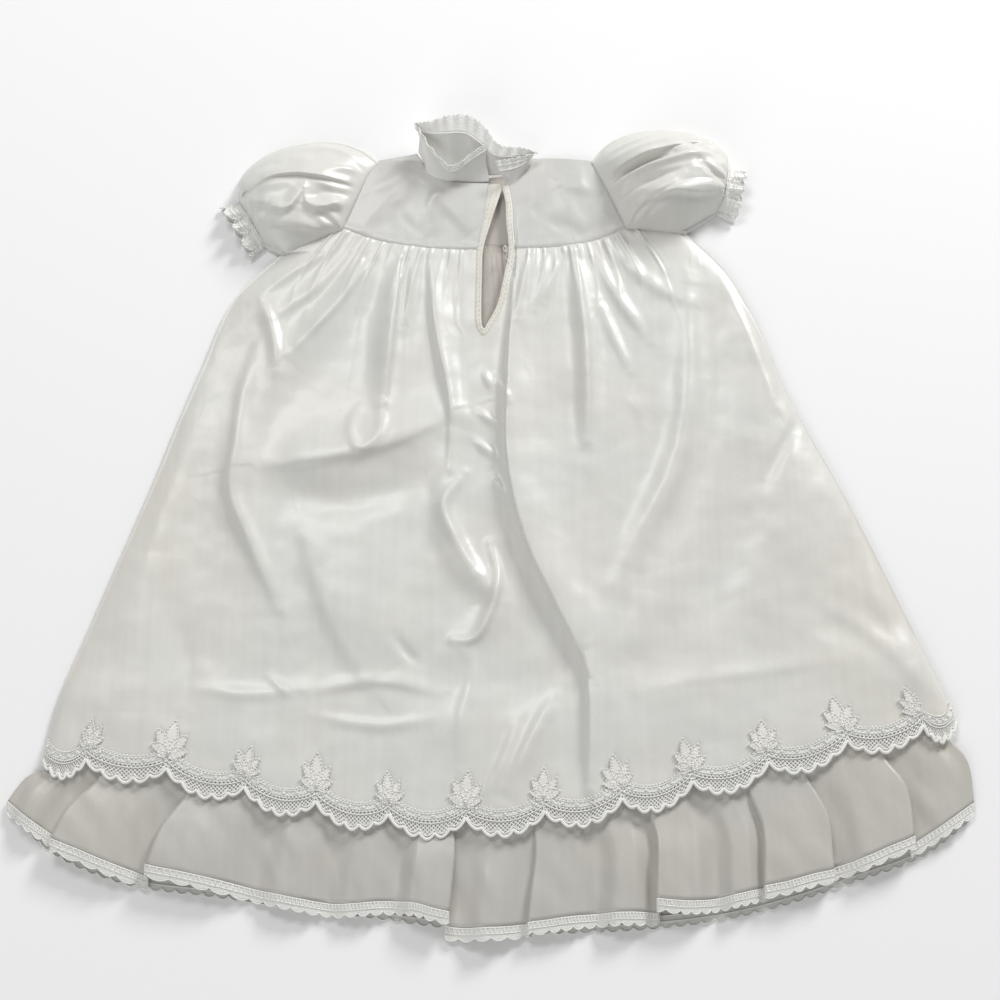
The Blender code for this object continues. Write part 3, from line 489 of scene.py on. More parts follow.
# Crisp creases that the photo shows on top of the big folds
creases = [
    ([(17, 172), (14, 90), (14, 29), (26, -28), (46, -74), (65, -117)], 2.6, 17, 4.2, -3.0),
    ([(65, -100), (66, -150), (64, -196)], 3.0, 5.0, 4.0, -1.5),
    ([(59, 191), (63, 150), (66, 111), (66, 44)], 4.0, 3.0, 3.2, 1.4),
    ([(-67, 184), (-71, 140), (-73, 110), (-75, 73)], 7.0, 2.6, 4.2, 2.4),
    ([(-57, 184), (-58, 152), (-62, 129)], 3.0, 4.0, 2.6),
    ([(-44, 187), (-39, 129), (-28, 75), (-28, 24)], 3.0, 4.5, 3.0, -1.0),
    ([(-86, 187), (-108, 152), (-143, 110)], 9.0, 4.0, 3.2, 1.2),
    ([(-103, 191), (-124, 164), (-156, 138)], 7.0, 4.0, 2.6, 0.8),
    ([(-111, 195), (-137, 179), (-172, 152)], 6.0, 4.0, 2.2, 0.6),
    ([(-163, 152), (-155, 129), (-150, 97)], 5.0, 4.0, 3.4),
    ([(-165, 117), (-174, 75), (-175, 46), (-178, 9), (-164, -26), (-141, -75)], 4.5, 6.0, 3.8, -0.8),
    ([(-160, 27), (-111, 33), (-63, 46), (-30, 64)], 5.0, 12.0, 3.0, -1.4),
    ([(-152, 9), (-103, 2), (-49, 17)], 12.0, 10.0, -2.6),
    ([(-92, 70), (-97, 50), (-90, 38), (-78, 48), (-76, 70)], 4.0, 4.0, 2.2),
    ([(27, 188), (23, 164), (20, 136)], 3.0, 3.0, 2.4),
    ([(41, 191), (35, 160), (32, 144)], 3.0, 3.5, 2.2),
    ([(50, 191), (43, 167), (38, 150)], 3.0, 3.5, 2.0),
    ([(71, 195), (91, 152), (112, 121)], 4.0, 6.0, 2.6),
    ([(76, 152), (85, 125), (97, 98)], 3.0, 5.0, 2.2, 0.6),
    ([(98, 80), (101, 70), (102, 60)], 3.0, 4.0, 1.0),
    ([(84, 197), (110, 168), (141, 150)], 5.0, 7.0, 2.2),
    ([(150, 175), (146, 75), (137, 24), (101, -48)], 9.0, 14.0, -3.4),
    ([(186, 53), (177, 2), (140, -69), (99, -110)], 16.0, 18.0, -2.8),
    ([(166, 172), (184, 120), (200, 70)], 5.0, 9.0, 2.4),
    ([(214, 62), (200, 38), (188, 15)], 4.0, 5.0, -2.2),
    ([(-6, 98), (-3, 91), (0, 84)], 2.5, 3.5, 2.2),
    ([(4, 91), (9, 82), (14, 72)], 3.0, 3.0, 2.8),
    ([(-10, 68), (-3, 62), (4, 57)], 3.0, 3.0, 2.2),
    ([(-13, 47), (-5, 40), (3, 33)], 3.0, 3.0, 2.2),
    ([(2, 19), (6, 10), (11, 0)], 3.0, 3.5, 2.4),
    ([(-18, 22), (-34, -3), (-24, -28), (-11, -51)], 3.5, 4.5, 3.2, 0.8),
    ([(-1, -28), (4, -55), (-1, -75), (-14, -96), (-26, -96)], 3.0, 3.5, 4.0, 1.0),
    ([(-24, -96), (-14, -108), (-19, -150), (-20, -182)], 5.0, 6.0, 2.6),
    ([(19, -148), (6, -182), (-7, -204)], 4.0, 5.0, 2.6),
    ([(42, -134), (26, -163), (10, -194)], 4.0, 5.0, 3.0),
    ([(-64, -94), (-57, -104), (-49, -112)], 3.0, 4.0, -2.0),
    ([(-130, -14), (-118, -50), (-108, -77), (-76, -131)], 7.0, 22.0, 2.6),
    ([(-146, -121), (-140, -127), (-133, -134)], 3.0, 3.0, 1.6),
    ([(-192, -129), (-159, -133), (-126, -130)], 4.0, 5.0, 1.6),
    ([(-120, -131), (-73, -124), (-34, -131)], 4.0, 6.0, 2.4, -0.6),
    ([(-116, -147), (-73, -154), (-38, -150)], 4.0, 4.0, 1.6),
    ([(96, -131), (138, -123), (178, -118), (228, -110)], 4.0, 6.0, 0.9),
    ([(221, -69), (259, -96), (291, -131)], 6.0, 9.0, 1.8),
    ([(-205, 60), (-222, 0), (-236, -60)], 8.0, 12.0, 2.0),
    ([(-215, -70), (-205, -110), (-208, -160)], 9.0, 9.0, -1.8),
    ([(105, -60), (96, -92), (88, -108)], 9.0, 12.0, 2.2),
    ([(255, -30), (262, -70), (285, -110)], 7.0, 7.0, 1.4),
    ([(-46, 242), (-30, 226), (-13, 204)], 6.0, 8.0, 1.6),
    ([(-72, 232), (-64, 215), (-50, 200)], 7.0, 7.0, -1.2),
    ([(-60, 262), (-72, 250), (-90, 240)], 5.0, 6.0, 1.2),
    ([(-37, 243), (-44, 228), (-42, 212)], 4.0, 4.0, 1.2),
    ([(47, 242), (58, 222), (70, 206)], 6.0, 7.0, 1.4),
    ([(27, 228), (44, 214), (66, 203)], 5.0, 6.0, -1.2),
    ([(36, 258), (52, 246), (76, 240)], 5.0, 6.0, 1.2),
]
hemY, ruffleSeamY = lineY(hem), lineY(ruffleSeam)
leftX, rightX = sideX(skirtSides["left"]), sideX(skirtSides["right"])


def sideRun(x, y):
    # how far a point of the back lies in from the side seam, or a lot above the underarms
    run = np.full(np.shape(x), 1000.0)
    low = {side: y < underarms[side][1] for side in underarms}
    run = np.where(low["left"] & (x < 0), x - leftX(y), run)
    return np.maximum(np.where(low["right"] & (x > 0), rightX(y) - x, run), 0)


def backUnder(x, y):
    side, put = sideRun(x, y), layers
    roll = 1 - np.exp(-side / put["sideRoll"])
    roll = roll * (1 - np.exp(-np.maximum(put["shoulderY"] - y, 0) / put["shoulderRoll"]))
    over = rise(put["ruffleStart"], put["ruffleFull"], y - ruffleSeamY(x))
    lift = (put["overRuffles"] - put["overFront"]) * over * (1 - np.exp(-side / put["seamRoll"]))
    fullness = put["backRise"] * (1 - put["riseLost"] * over) + folded(bigFolds, x, y)[0]
    return put["overFront"] + lift + roll * fullness


detail = {"seamFade": 7.0, "rippleSize": 34.0, "rippleHeight": 1.0, "fineSize": 13.0, "fineHeight": 0.4,
          "crushSize": 44.0, "crushHeight": 1.6, "crushRound": 0.002, "least": 2.2}


def backCloth(x, y):
    # the back's cloth with its creases and small wrinkles, which die away at the side seams
    height, shift = folded(creases, x, y)
    plan = np.stack([x, y], axis=-1)
    fan = np.stack([x * 230 / np.maximum(420 - y, 100), y * 0.55], axis=-1)  # along the fall of the gathers
    small = ripple(plan, detail["rippleSize"], detail["rippleHeight"], 3.0)
    small = small + ripple(plan, detail["fineSize"], detail["fineHeight"], 7.0)
    crush = np.sqrt(ripple(fan, detail["crushSize"], 1.0, 21.0) ** 2 + detail["crushRound"])
    small = small + detail["crushHeight"] * (0.3 - crush)
    hold = 1 - np.exp(-sideRun(x, y) / detail["seamFade"])
    hold = hold * (1 - np.exp(-np.maximum(layers["shoulderY"] - y, 0) / detail["seamFade"]))
    plan = plan + shift * hold[..., None]
    z = np.maximum(backUnder(x, y) + hold * (height + small), detail["least"])
    return stack(plan[..., 0], plan[..., 1], z)


def clothEdge(side, fromY, toY):
    edge = smoothLine([-row.y for row in placket], [getattr(row, side + "Cloth") for row in placket])

    def at(t):
        y = fromY + (toY - fromY) * np.asarray(t, float)
        return np.stack([edge(-y), y], axis=-1)

    return at


# Yokes
yokes = {"wall": 0.4, "lift": 0.5, "seamLift": 0.6, "bury": 1.2, "edge": 0.7, "deep": 77.0, "wide": 100.0,
         "seamY": 192, "neckEnds": {"left": 246, "right": 245},
         "frontShares": (0.25, 0.78), "backShares": {"left": 0.32, "right": 0.42}, "frontLift": 0.6}


def onBack(plan, side):
    # the yoke swells just inside its seams and dips under at the seams themselves
    def at(u, v):
        found = plan(u, v)
        cloth = backCloth(found[..., 0], found[..., 1])
        down, aside = (1 - v) * yokes["deep"], (u if side == "left" else 1 - u) * yokes["wide"]
        cloth[..., 2] += yokes["lift"] + yokes["seamLift"] * np.exp(-((down - 4) / 3) ** 2)
        atSeams = np.exp(-down / yokes["edge"]) + 0.5 * np.exp(-aside / yokes["edge"])
        cloth[..., 2] -= yokes["bury"] * atSeams
        return cloth

    return at


def makeYokes():
    sides = {side: curve(armholes[side]) for side in armholes}
    first, second = yokes["frontShares"]
    neck = joined(curve(shoulders["left"]), curve(frontNeck), first / second)
    neck = joined(neck, curve(shoulders["right"]), second)
    front = panel(neck, curve(frontSeam), sides["left"], sides["right"])

    def frontShape(u, v):
        return raised(front(u, v), yokes["frontLift"])

    pieces = {"front": addPiece("frontYoke", clothMesh("frontYoke", 60, 24, frontShape), insideSatinPaintedShade,
                                ["front_yoke"], yokes["wall"])}
    for side in ("left", "right"):
        edge = clothEdge(side, yokes["neckEnds"][side], yokes["seamY"])
        if side == "left":
            top = joined(curve(shoulders[side]), curve(backNeck[side]), yokes["backShares"][side])
            plan = panel(top, curve(yokeSeams[side]), sides[side], edge)
        else:
            top = joined(curve(backNeck[side]), curve(shoulders[side]), yokes["backShares"][side])
            plan = panel(top, curve(yokeSeams[side]), edge, sides[side])
        mesh = clothMesh(side + "BackYoke", 116, 88, onBack(plan, side))
        node = f"back_yoke_{side}"
        pieces[side] = addPiece(side + "BackYoke", mesh, yokeSatinPaintedShade, [node], yokes["wall"])
    return pieces


yokePieces = makeYokes()
print("yokes made")

# Skirt: back and front panels
skirt = {"columns": 330, "rows": 296, "slitRows": 52, "slitEnd": 0.165, "slitTaper": 0.86, "lift": 0.7,
         "shares": {"left": 0.3, "right": 0.66}, "frontShares": (0.19, 0.84), "frontLift": 0.7}
gathers = {"count": 38, "first": 0.135, "last": 0.865, "slit": 0.016, "height": 3.3, "uneven": 0.7,
           "width": 0.0046, "widthUneven": 0.35, "start": 0.006, "fade": 0.048, "fadeUneven": 0.8,
           "jitter": 0.0085}
frontGathers = {"count": 46, "height": 1.6, "start": 0.006, "fade": 0.06, "from": (0.22, 0.3),
                "to": (0.78, 0.7)}


def hemPoint(u):
    x = np.interp(np.asarray(u) * (len(scallopTops) - 1), range(len(scallopTops)), scallopTops)
    return np.stack([x, hemY(x)], axis=-1)


def halfSkirt(side):
    drop = np.array([0, tuck])
    seam = moved(curve(yokeSeams[side]), *drop)
    last = placket[-1]
    slit = clothEdge(side, yokes["seamY"] + tuck, last.y)
    slit = joined(slit, curve([slit(1.0), placketEnd["cloth"]]), skirt["slitTaper"])
    centre = joined(slit, curve([placketEnd["cloth"], (0, 20), (9.5, -210)]), skirt["slitEnd"])
    outer = curve(skirtSides[side])
    corner = np.array(armholes[side][-1]) + drop
    if side == "left":
        top = joined(curve([underarms[side], corner]), seam, skirt["shares"][side])
        return panel(top, lambda u: hemPoint(u / 2), outer, centre)
    top = joined(seam, curve([corner, underarms[side]]), skirt["shares"][side])
    return panel(top, lambda u: hemPoint(0.5 + u / 2), centre, outer)


halves = {side: halfSkirt(side) for side in ("left", "right")}


def skirtPlan(u, v):
    left = halves["left"](np.clip(2 * u, 0, 1), v)
    right = halves["right"](np.clip(2 * u - 1, 0, 1), v)
    return np.where((u < 0.5)[..., None], left, right)


def gatherHeight(u, v):
    total, put = np.zeros(np.shape(u)), gathers
    for k in range(put["count"]):
        place = np.interp(k, [0, put["count"] - 1], [put["first"], put["last"]])
        place += put["jitter"] * math.sin(5.1 * k)
        size = 1 - put["uneven"] * (0.5 + 0.5 * math.sin(2.4 * k))
        fade = put["fade"] * (1 + put["fadeUneven"] * math.sin(3.7 * k + 1))
        width = put["width"] * (1 + put["widthUneven"] * math.sin(4.3 * k))
        shape = np.exp(-(((u - place) / width) ** 2))
        total += size * shape * np.exp(-v / fade)
    slit = rise(put["slit"] * 0.5, put["slit"] * 1.6, np.abs(u - 0.5))
    return put["height"] * total * (1 - np.exp(-v / put["start"])) * slit


def skirtPoint(u, v):
    plan = skirtPlan(u, v)
    found = backCloth(plan[..., 0], plan[..., 1])
    found[..., 2] += gatherHeight(u, v)
    return found


def makeSkirts():
    def backShape(u, v):
        return skirtPoint(u, v) + np.array([0, 0, skirt["lift"]])

    rowAt = ([0, skirt["slitRows"] / skirt["rows"], 1], [0, skirt["slitEnd"], 1])
    mesh = clothMesh("backSkirt", skirt["columns"], skirt["rows"], backShape, rowAt, skirt["slitRows"])
    back = addPiece("backSkirt", mesh, satin, ["back_skirt"])
    seam = moved(curve(frontSeam), 0, tuck)
    first, second = skirt["frontShares"]
    top = joined(curve([underarms["left"], seam(0.0)]), seam, first / second)
    top = joined(top, curve([seam(1.0), underarms["right"]]), second)
    plan = panel(top, hemPoint, curve(skirtSides["left"]), curve(skirtSides["right"]))

    def frontShape(u, v):
        put = frontGathers
        inside = rise(*put["from"], u) * rise(*put["to"], u)
        z = put["height"] * np.sin(2 * np.pi * put["count"] * u) ** 2 * np.exp(-v / put["fade"])
        return raised(plan(u, v), skirt["frontLift"] + z * (1 - np.exp(-v / put["start"])) * inside)

    mesh = clothMesh("frontSkirt", 230, 40, frontShape)
    return back, addPiece("frontSkirt", mesh, insideSatinPaintedShade, ["front_skirt"], 0.4)


backSkirt, frontSkirt = makeSkirts()
print("skirts made")

# Lace on the back skirt's hem. s counts its scallops, d is how far below the hem, in millimetres.
hemLace = {"lift": 1.2, "top": -10.5, "topSag": 9.0, "netTop": -3.6, "netSag": 8.6, "shallow": 4.5,
           "deep": 17.0, "round": 0.75, "lobes": 5, "lobeDrop": 4.2, "lobeRound": 0.8, "droop": 0.2,
           "columns": 44, "rows": 20, "skirtLength": 365.0, "cord": 0.6, "edge": 2.2, "innerEdge": 0.8,
           "innerDrop": 3.2, "bead": 1.45, "beadStep": 2.3, "spangle": 2.3, "spangleStep": 9.0,
           "motifBase": -7.0, "trimLift": 0.35}
# rows of the trim: where each starts and how far it sags in a scallop
trimRows = {"inner": (-2.6, 8.6), "band": ((-9.0, 9.0), (-6.0, 8.8)), "pearls": ((-10.4, 9.0), (-4.4, 8.6)),
            "spangles": (-7.5, 8.9)}
scallops = len(scallopTops) - 1
scallopWidth = (scallopTops[-2] - scallopTops[1]) / (scallops - 2)


def sag(s):
    return np.sin(np.pi * (s % 1)) ** hemLace["round"]


def laceEdge(s):
    span = hemLace["deep"] - hemLace["shallow"]
    lobe = np.abs(np.sin(np.pi * hemLace["lobes"] * s)) ** hemLace["lobeRound"]
    return hemLace["shallow"] + span * sag(s) - hemLace["lobeDrop"] * (1 - lobe) * (0.4 + 0.6 * sag(s))


def lacePoint(s, d):
    u = np.clip(s / scallops, 0.0005, 0.9995)
    down = np.maximum(d, 0)
    found = skirtPoint(u, 1 + np.minimum(d, 0) / hemLace["skirtLength"])
    found[..., 1] -= down
    found[..., 2] += hemLace["lift"] - hemLace["droop"] * down / hemLace["deep"]
    return found


def laceRow(start, drop, step, width):
    # places every step along a row that sags by drop in each scallop
    at = np.linspace(width, scallops - width, int(scallops * scallopWidth / step))
    return lacePoint(at, start + drop * sag(at))


# an upright leaf of five lobes over two sepals: direction in degrees, length, width
leafRow = namedtuple("leafRow", "angle length width")
leafRows = [leafRow(90, 17.0, 7.5), leafRow(52, 13.5, 6.5), leafRow(128, 13.5, 6.5), leafRow(14, 10.5, 5.5),
            leafRow(166, 10.5, 5.5), leafRow(-30, 6.0, 3.6), leafRow(210, 6.0, 3.6)]
leaf = {"pad": 1.1, "lift": 0.3, "bead": 1.3, "beadStep": 1.7, "turn": 9.0, "uneven": 0.13, "eye": 2.2,
        "vein": 0.2, "cord": 0.45, "cordLift": 0.3, "beadLift": 0.6, "eyeLift": 1.4, "marks": 12}


def leafPlace(s, along, sideways, angle):
    a = math.radians(angle)
    dx = along * math.cos(a) - sideways * math.sin(a)
    dy = along * math.sin(a) + sideways * math.cos(a)
    return lacePoint(s + dx / scallopWidth, hemLace["motifBase"] - dy)


def leafShape(s, row):
    def at(u, v):
        half = 0.5 * row.width * np.sin(np.pi * v ** 0.85) ** 0.8
        found = leafPlace(s, v * row.length, (2 * u - 1) * half, row.angle)
        vein = 1 - np.exp(-(((2 * u - 1) / leaf["vein"]) ** 2))
        grain = 0.6 + 0.4 * np.cos(3.1 * v * row.length)
        crown = np.sin(np.pi * u) * np.sin(np.pi * v) * (0.45 + 0.55 * vein) * grain
        found[..., 2] += leaf["lift"] + leaf["pad"] * crown
        return found

    return at


def makeLeaves():
    lobes, outlines, dots, eyes = [], [], [], []
    for k in range(1, scallops):
        for row in leafRows:
            size = 1 + leaf["uneven"] * math.sin(2.9 * k + row.angle)
            angle = row.angle + leaf["turn"] * math.sin(1.7 * k)
            shape = leafShape(k, leafRow(angle, row.length * size, row.width * size))
            lobes.append(clothMesh("lobe", 6, 20, shape))
            t, marks = np.linspace(0.03, 0.97, leaf["marks"]), leaf["marks"]
            outline = np.concatenate([shape(np.zeros(marks), t), shape(np.ones(marks), t[::-1])])
            outlines.append(outline + np.array([0, 0, leaf["cordLift"]]))
            t = np.linspace(0.08, 0.98, int(row.length / leaf["beadStep"]))
            for side in (0.03, 0.97):
                dots.extend(shape(np.full(len(t), side), t) + np.array([0, 0, leaf["beadLift"]]))
        eyes.append(lacePoint(float(k), hemLace["motifBase"]) + np.array([0, 0, leaf["eyeLift"]]))
    pads = addPiece("hemLaceLeaves", joinedMesh("hemLaceLeaves", lobes), leafThread)
    return [pads, cords("hemLaceLeafCords", outlines, leaf["cord"], laceThread, closed=True),
            beads("hemLaceLeafDots", dots, leaf["bead"], laceThread),
            beads("hemLaceLeafEyes", eyes, leaf["eye"], laceThread)]


def makeHemLace():
    def across(s, v):
        top = hemLace["top"] + hemLace["topSag"] * sag(s)
        return top + (laceEdge(s) - top) * v

    def shape(u, v):
        s = u * scallops
        return lacePoint(s, across(s, v))

    mesh = clothMesh("hemLaceNet", scallops * hemLace["columns"], hemLace["rows"], shape)
    layer = mesh.uv_layers["cloth"].data
    uv = np.empty(len(layer) * 2)
    layer.foreach_get("uv", uv)
    s, v = uv[0::2] * scallops, uv[1::2].copy()
    uv[0::2] = s * scallopWidth
    uv[1::2] = across(s, v) - hemLace["netTop"] - hemLace["netSag"] * sag(s)
    layer.foreach_set("uv", uv)
    net = addPiece("hemLaceNet", mesh, hemNet, ["skirt_lace_back"])

    s = np.linspace(0.01, scallops - 0.01, scallops * 60)
    up = np.array([0, 0, hemLace["trimLift"]])

    def line(start, drop):
        return lacePoint(s, start + drop * sag(s)) + up

    edge = [lacePoint(s, laceEdge(s) - hemLace["edge"] * 0.4) + up]
    inner = [lacePoint(s, laceEdge(s) - hemLace["innerDrop"]) + up, line(*trimRows["inner"])]
    band = [line(*row) for row in trimRows["band"]]
    pearls = [place for row in trimRows["pearls"] for place in laceRow(*row, hemLace["beadStep"], 0.03)]
    spangles = laceRow(*trimRows["spangles"], hemLace["spangleStep"], 0.06)
    return net, [
        cords("hemLaceEdge", edge, hemLace["edge"], laceThread),
        cords("hemLaceInnerEdge", inner, hemLace["innerEdge"], laceThread),
        cords("hemLaceCords", band, hemLace["cord"], laceThread),
        beads("hemLaceBeads", [place + up for place in pearls], hemLace["bead"], laceThread),
        beads("hemLaceSpangles", [place + up for place in spangles], hemLace["spangle"], laceThread),
        *makeLeaves()]


hemLacePiece, hemLaceTrims = makeHemLace()
print("hem lace made")

# Ruffle tier: fold lines with their seam and hem ends, the height of the wave on their left, and
# which panel laps over the line, -1 for the one on its right and 1 for the one on its left. The
# other panel stays down beside the line for the share gap of its width. The hem steps up by before
# on the line's left and by after on its right.
waveRow = namedtuple("waveRow", "seamX hemX height lap gap before after", defaults=(0.0, 0.0))
waves = [waveRow(*numbers) for numbers in [
    (-272, -314, 0.0, 0, 0.0), (-248, -281, 5.0, -1, 0.14), (-193, -219, 7.0, -1, 0.05, -3.0, 5.0),
    (-136, -153, 8.0, 0, 0.0), (-102, -105, 5.5, 0, 0.0), (-62, -62, 5.0, 0, 0.0),
    (-29, -29, 8.5, 1, 0.1, 4.0, -4.0), (23, 26, 7.5, -1, 0.08), (57, 66, 5.0, 0, 0.0),
    (92, 108, 8.0, -1, 0.10, -3.0, 6.0), (128, 144, 9.0, 0, 0.0), (157, 177, 6.5, -1, 0.06),
    (194, 217, 8.0, 1, 0.08), (244, 270, 8.0, 1, 0.12, 4.0, -3.0), (283, 314, 4.0, 0, 0.0),
]]
ruffle = {"columns": 38, "rows": 48, "low": 2.9, "underSkirt": 0.22, "start": 0.35, "drop": 0.3,
          "hidden": 0.45, "flatEnd": 0.02, "reach": 9.0, "wall": 0.4, "lap": 4.0, "crisp": 0.05,
          "soft": 0.36, "most": 6.0, "mostAtHem": 10.5, "mostFrom": 0.55, "underBack": 1.35,
          "crushSize": 17.0, "crushHeight": 1.3, "crushLeast": -0.4}
ruffleSides = {"left": [(-272, -136), (-275, -158), (-286, -178), (-303, -187), (-314, -202)],
               "right": [(283, -106), (291, -135), (298, -158), (311, -174), (314, -203)]}
ruffleHem = [(-314, -202), (-284, -223), (-232, -244), (-180, -252), (-102, -267), (-44, -269), (-28, -277),
             (0, -281), (51, -275), (127, -267), (205, -249), (284, -221), (314, -203)]


def ruffleLine(points, column):
    y = lineY(points)
    foldX = [getattr(wave, column) for wave in waves]

    def at(u):
        x = np.interp(u, np.linspace(0, 1, len(foldX)), foldX)
        return np.stack([x, y(x)], axis=-1)

    return at


rufflePlan = panel(ruffleLine(ruffleSeam, "seamX"), ruffleLine(ruffleHem, "hemX"),
                   curve(ruffleSides["left"]), curve(ruffleSides["right"]))


def belowBack(x, y):
    steps = (-ruffle["reach"], 0, ruffle["reach"])
    near = [backUnder(x + dx, y + dy) for dx in steps for dy in steps]
    return np.maximum(np.min(near, axis=0) - ruffle["underBack"], ruffle["low"])


def onWave(u):
    # the wave that the share u of the tier is on, and the share of that wave
    place = u * (len(waves) - 1)
    wave = np.minimum(place.astype(int), len(waves) - 2)
    return wave, place - wave


def waveShape(u, v):
    # height of the wave and how far its cloth laps sideways, for the share u and v of the tier
    wave, phase = onWave(u)
    height, lap, gap = (np.array([getattr(row, part) for row in waves]) for part in ("height", "lap", "gap"))
    height = height[wave + 1]
    crispLeft, crispRight = lap[wave] == -1, lap[wave + 1] == 1
    crisp, soft, fromLeft, fromRight = ruffle["crisp"], ruffle["soft"], gap[wave], 1 - gap[wave + 1]
    start = np.where(crispLeft, rise(0, crisp, phase), rise(fromLeft, fromLeft + soft, phase))
    end = np.where(crispRight, rise(1, 1 - crisp, phase), rise(fromRight, fromRight - soft, phase))
    belly = 0.86 + 0.14 * np.sin(np.pi * phase)
    free = ruffle["underSkirt"] + (1 - ruffle["underSkirt"]) * rise(ruffle["start"], 1, v)
    lean = np.where(crispLeft & ~crispRight, 1 - phase, np.where(crispRight & ~crispLeft, phase, 0.5))
    wide = crisp * 3 * 2.2
    left = rise(0, crisp * 0.7, phase) * rise(wide, 0.03, phase)
    right = rise(1, 1 - crisp * 0.7, phase) * rise(1 - wide, 0.97, phase)
    left, right = np.where(crispLeft, left, 0), np.where(crispRight, right, 0)
    return height * start * end * belly * free * (0.7 + 0.6 * lean), ruffle["lap"] * (right - left) * free


def hemStep(u):
    wave, phase = onWave(u)
    after, before = (np.array([getattr(row, part) for row in waves]) for part in ("after", "before"))
    return after[wave] * (1 - phase) ** 2 + before[wave + 1] * phase ** 2


def rufflePoint(u, v):
    below = np.minimum(v, 1)
    plan = rufflePlan(u, below)
    x, y = plan[..., 0], plan[..., 1]
    wave, lap = waveShape(u, below)
    edge = np.minimum(rise(0, ruffle["flatEnd"], u), rise(1, 1 - ruffle["flatEnd"], u))
    hidden = v < ruffle["hidden"]
    slanted = np.stack([x * 1.3 + y * 0.5, y * 0.6], axis=-1)
    small = ripple(slanted, ruffle["crushSize"], ruffle["crushHeight"], 11.0) * rise(0.3, 0.8, v) * edge
    most = np.interp(below, [ruffle["mostFrom"], 1], [ruffle["most"], ruffle["mostAtHem"]])
    z = ruffle["low"] + np.minimum(wave + np.maximum(small, ruffle["crushLeast"]), most) * edge
    if hidden.any():
        seam = rufflePlan(u[hidden], np.zeros(hidden.sum()))
        hung = belowBack(seam[..., 0], seam[..., 1])
        drop = rise(0, ruffle["drop"], v[hidden])
        low = hung + (ruffle["low"] - hung) * drop + wave[hidden] * drop * edge[hidden]
        z[hidden] = np.minimum(low, belowBack(x[hidden], y[hidden]))
    return stack(x + lap * edge, y + hemStep(u) * rise(0.35, 1, below), z)


def makeRuffle():
    columns = (len(waves) - 1) * ruffle["columns"]
    mesh = clothMesh("backRuffle", columns, ruffle["rows"], rufflePoint)
    return addPiece("backRuffle", mesh, ruffleSatinPaintedShade, ["ruffle_back"], ruffle["wall"])


# Edging on the ruffle: a ladder between two cords with small scallops below
edging = {"deep": 9.0, "scallop": 9.2, "picot": 3.0, "gap": 0.2, "rows": 6, "perScallop": 10, "length": 690.0,
          "wall": 0.3, "lift": 0.55, "cord": 0.75, "cordDrops": (0.6, 4.3), "rung": 0.7, "rungStep": 2.6,
          "rungRun": (0.7, 4.2)}


def edgingDrop(run):
    return edging["deep"] - edging["picot"] * (1 - np.abs(np.sin(np.pi * run / edging["scallop"])) ** 0.6)


def makeEdging(name, hemAt, node, rungs):
    # hemAt(u) gives the points of the ruffle's hem
    count = int(edging["length"] / edging["scallop"])

    def spot(u, d):
        found = hemAt(u)
        found[..., 1] -= edging["gap"] + d
        return found

    def shape(u, v):
        return spot(u, v * edgingDrop(u * edging["length"]))

    mesh = clothMesh(name + "Net", count * edging["perScallop"], edging["rows"], shape,
                     uvSize=(edging["length"], edging["deep"]))
    net = addPiece(name + "Net", mesh, edgingNet, [node], edging["wall"])
    u = np.linspace(0.001, 0.999, count * 10)
    lift = np.array([0, 0, edging["lift"]])
    lines = [spot(u, np.full(len(u), drop)) + lift for drop in edging["cordDrops"]]
    lines.append(spot(u, edgingDrop(u * edging["length"]) - 0.3) + lift)
    trims = [cords(name + "Cords", lines, edging["cord"], laceThread)]
    if rungs:
        places = np.linspace(0.002, 0.998, int(edging["length"] / edging["rungStep"]))
        run = np.linspace(*edging["rungRun"], 3)
        bars = [spot(np.full(3, at), run) + lift for at in places]
        trims.append(cords(name + "Rungs", bars, edging["rung"], laceThread))
    return net, trims


frontTier = {
    "left": [(-272, -136), (-275, -158), (-284, -179), (-300, -189), (-311, -204)],
    "right": [(283, -106), (290, -135), (297, -158), (308, -176), (311, -206)],
    "hem": [(-311, -204), (-284, -226), (-232, -247), (-180, -254), (-102, -264), (0, -276), (76, -276),
            (153, -268), (231, -246), (284, -226), (311, -206)],
    "lift": 0.2, "drop": (0.76, 0.88), "columns": 160, "rows": 30, "wall": 0.4,
}


def makeRuffles():
    back, put = makeRuffle(), frontTier
    edge = makeEdging("backEdging", lambda u: rufflePoint(u, np.ones(len(u))), "ruffle_edging_back", True)
    plan = panel(curve(ruffleSeam), curve(put["hem"]), curve(put["left"]), curve(put["right"]))

    def frontShape(u, v):
        return raised(plan(u, v), put["lift"] + layers["overFront"] * np.interp(v, put["drop"], [1, 0]))

    def frontHem(u):
        return raised(curve(put["hem"])(u), put["lift"])

    mesh = clothMesh("frontRuffle", put["columns"], put["rows"], frontShape)
    front = addPiece("frontRuffle", mesh, ruffleSatinPaintedShade, ["ruffle_front"], put["wall"])
    return back, edge, front, makeEdging("frontEdging", frontHem, "ruffle_edging_front", False)


backRuffle, backEdging, frontRuffle, frontEdging = makeRuffles()


def makeFrontHemLace():
    def shape(u, v):
        found = hemPoint(u)
        return stack(found[..., 0], found[..., 1] + tuck - v * (tuck + laceEdge(u * scallops)), 0.3)

    mesh = clothMesh("frontHemLace", scallops * 30, 8, shape, uvSize=(scallops * scallopWidth, 14))
    return addPiece("frontHemLace", mesh, hemNet, ["skirt_lace_front"], 0.4)


frontHemLace = makeFrontHemLace()
print("ruffles made")

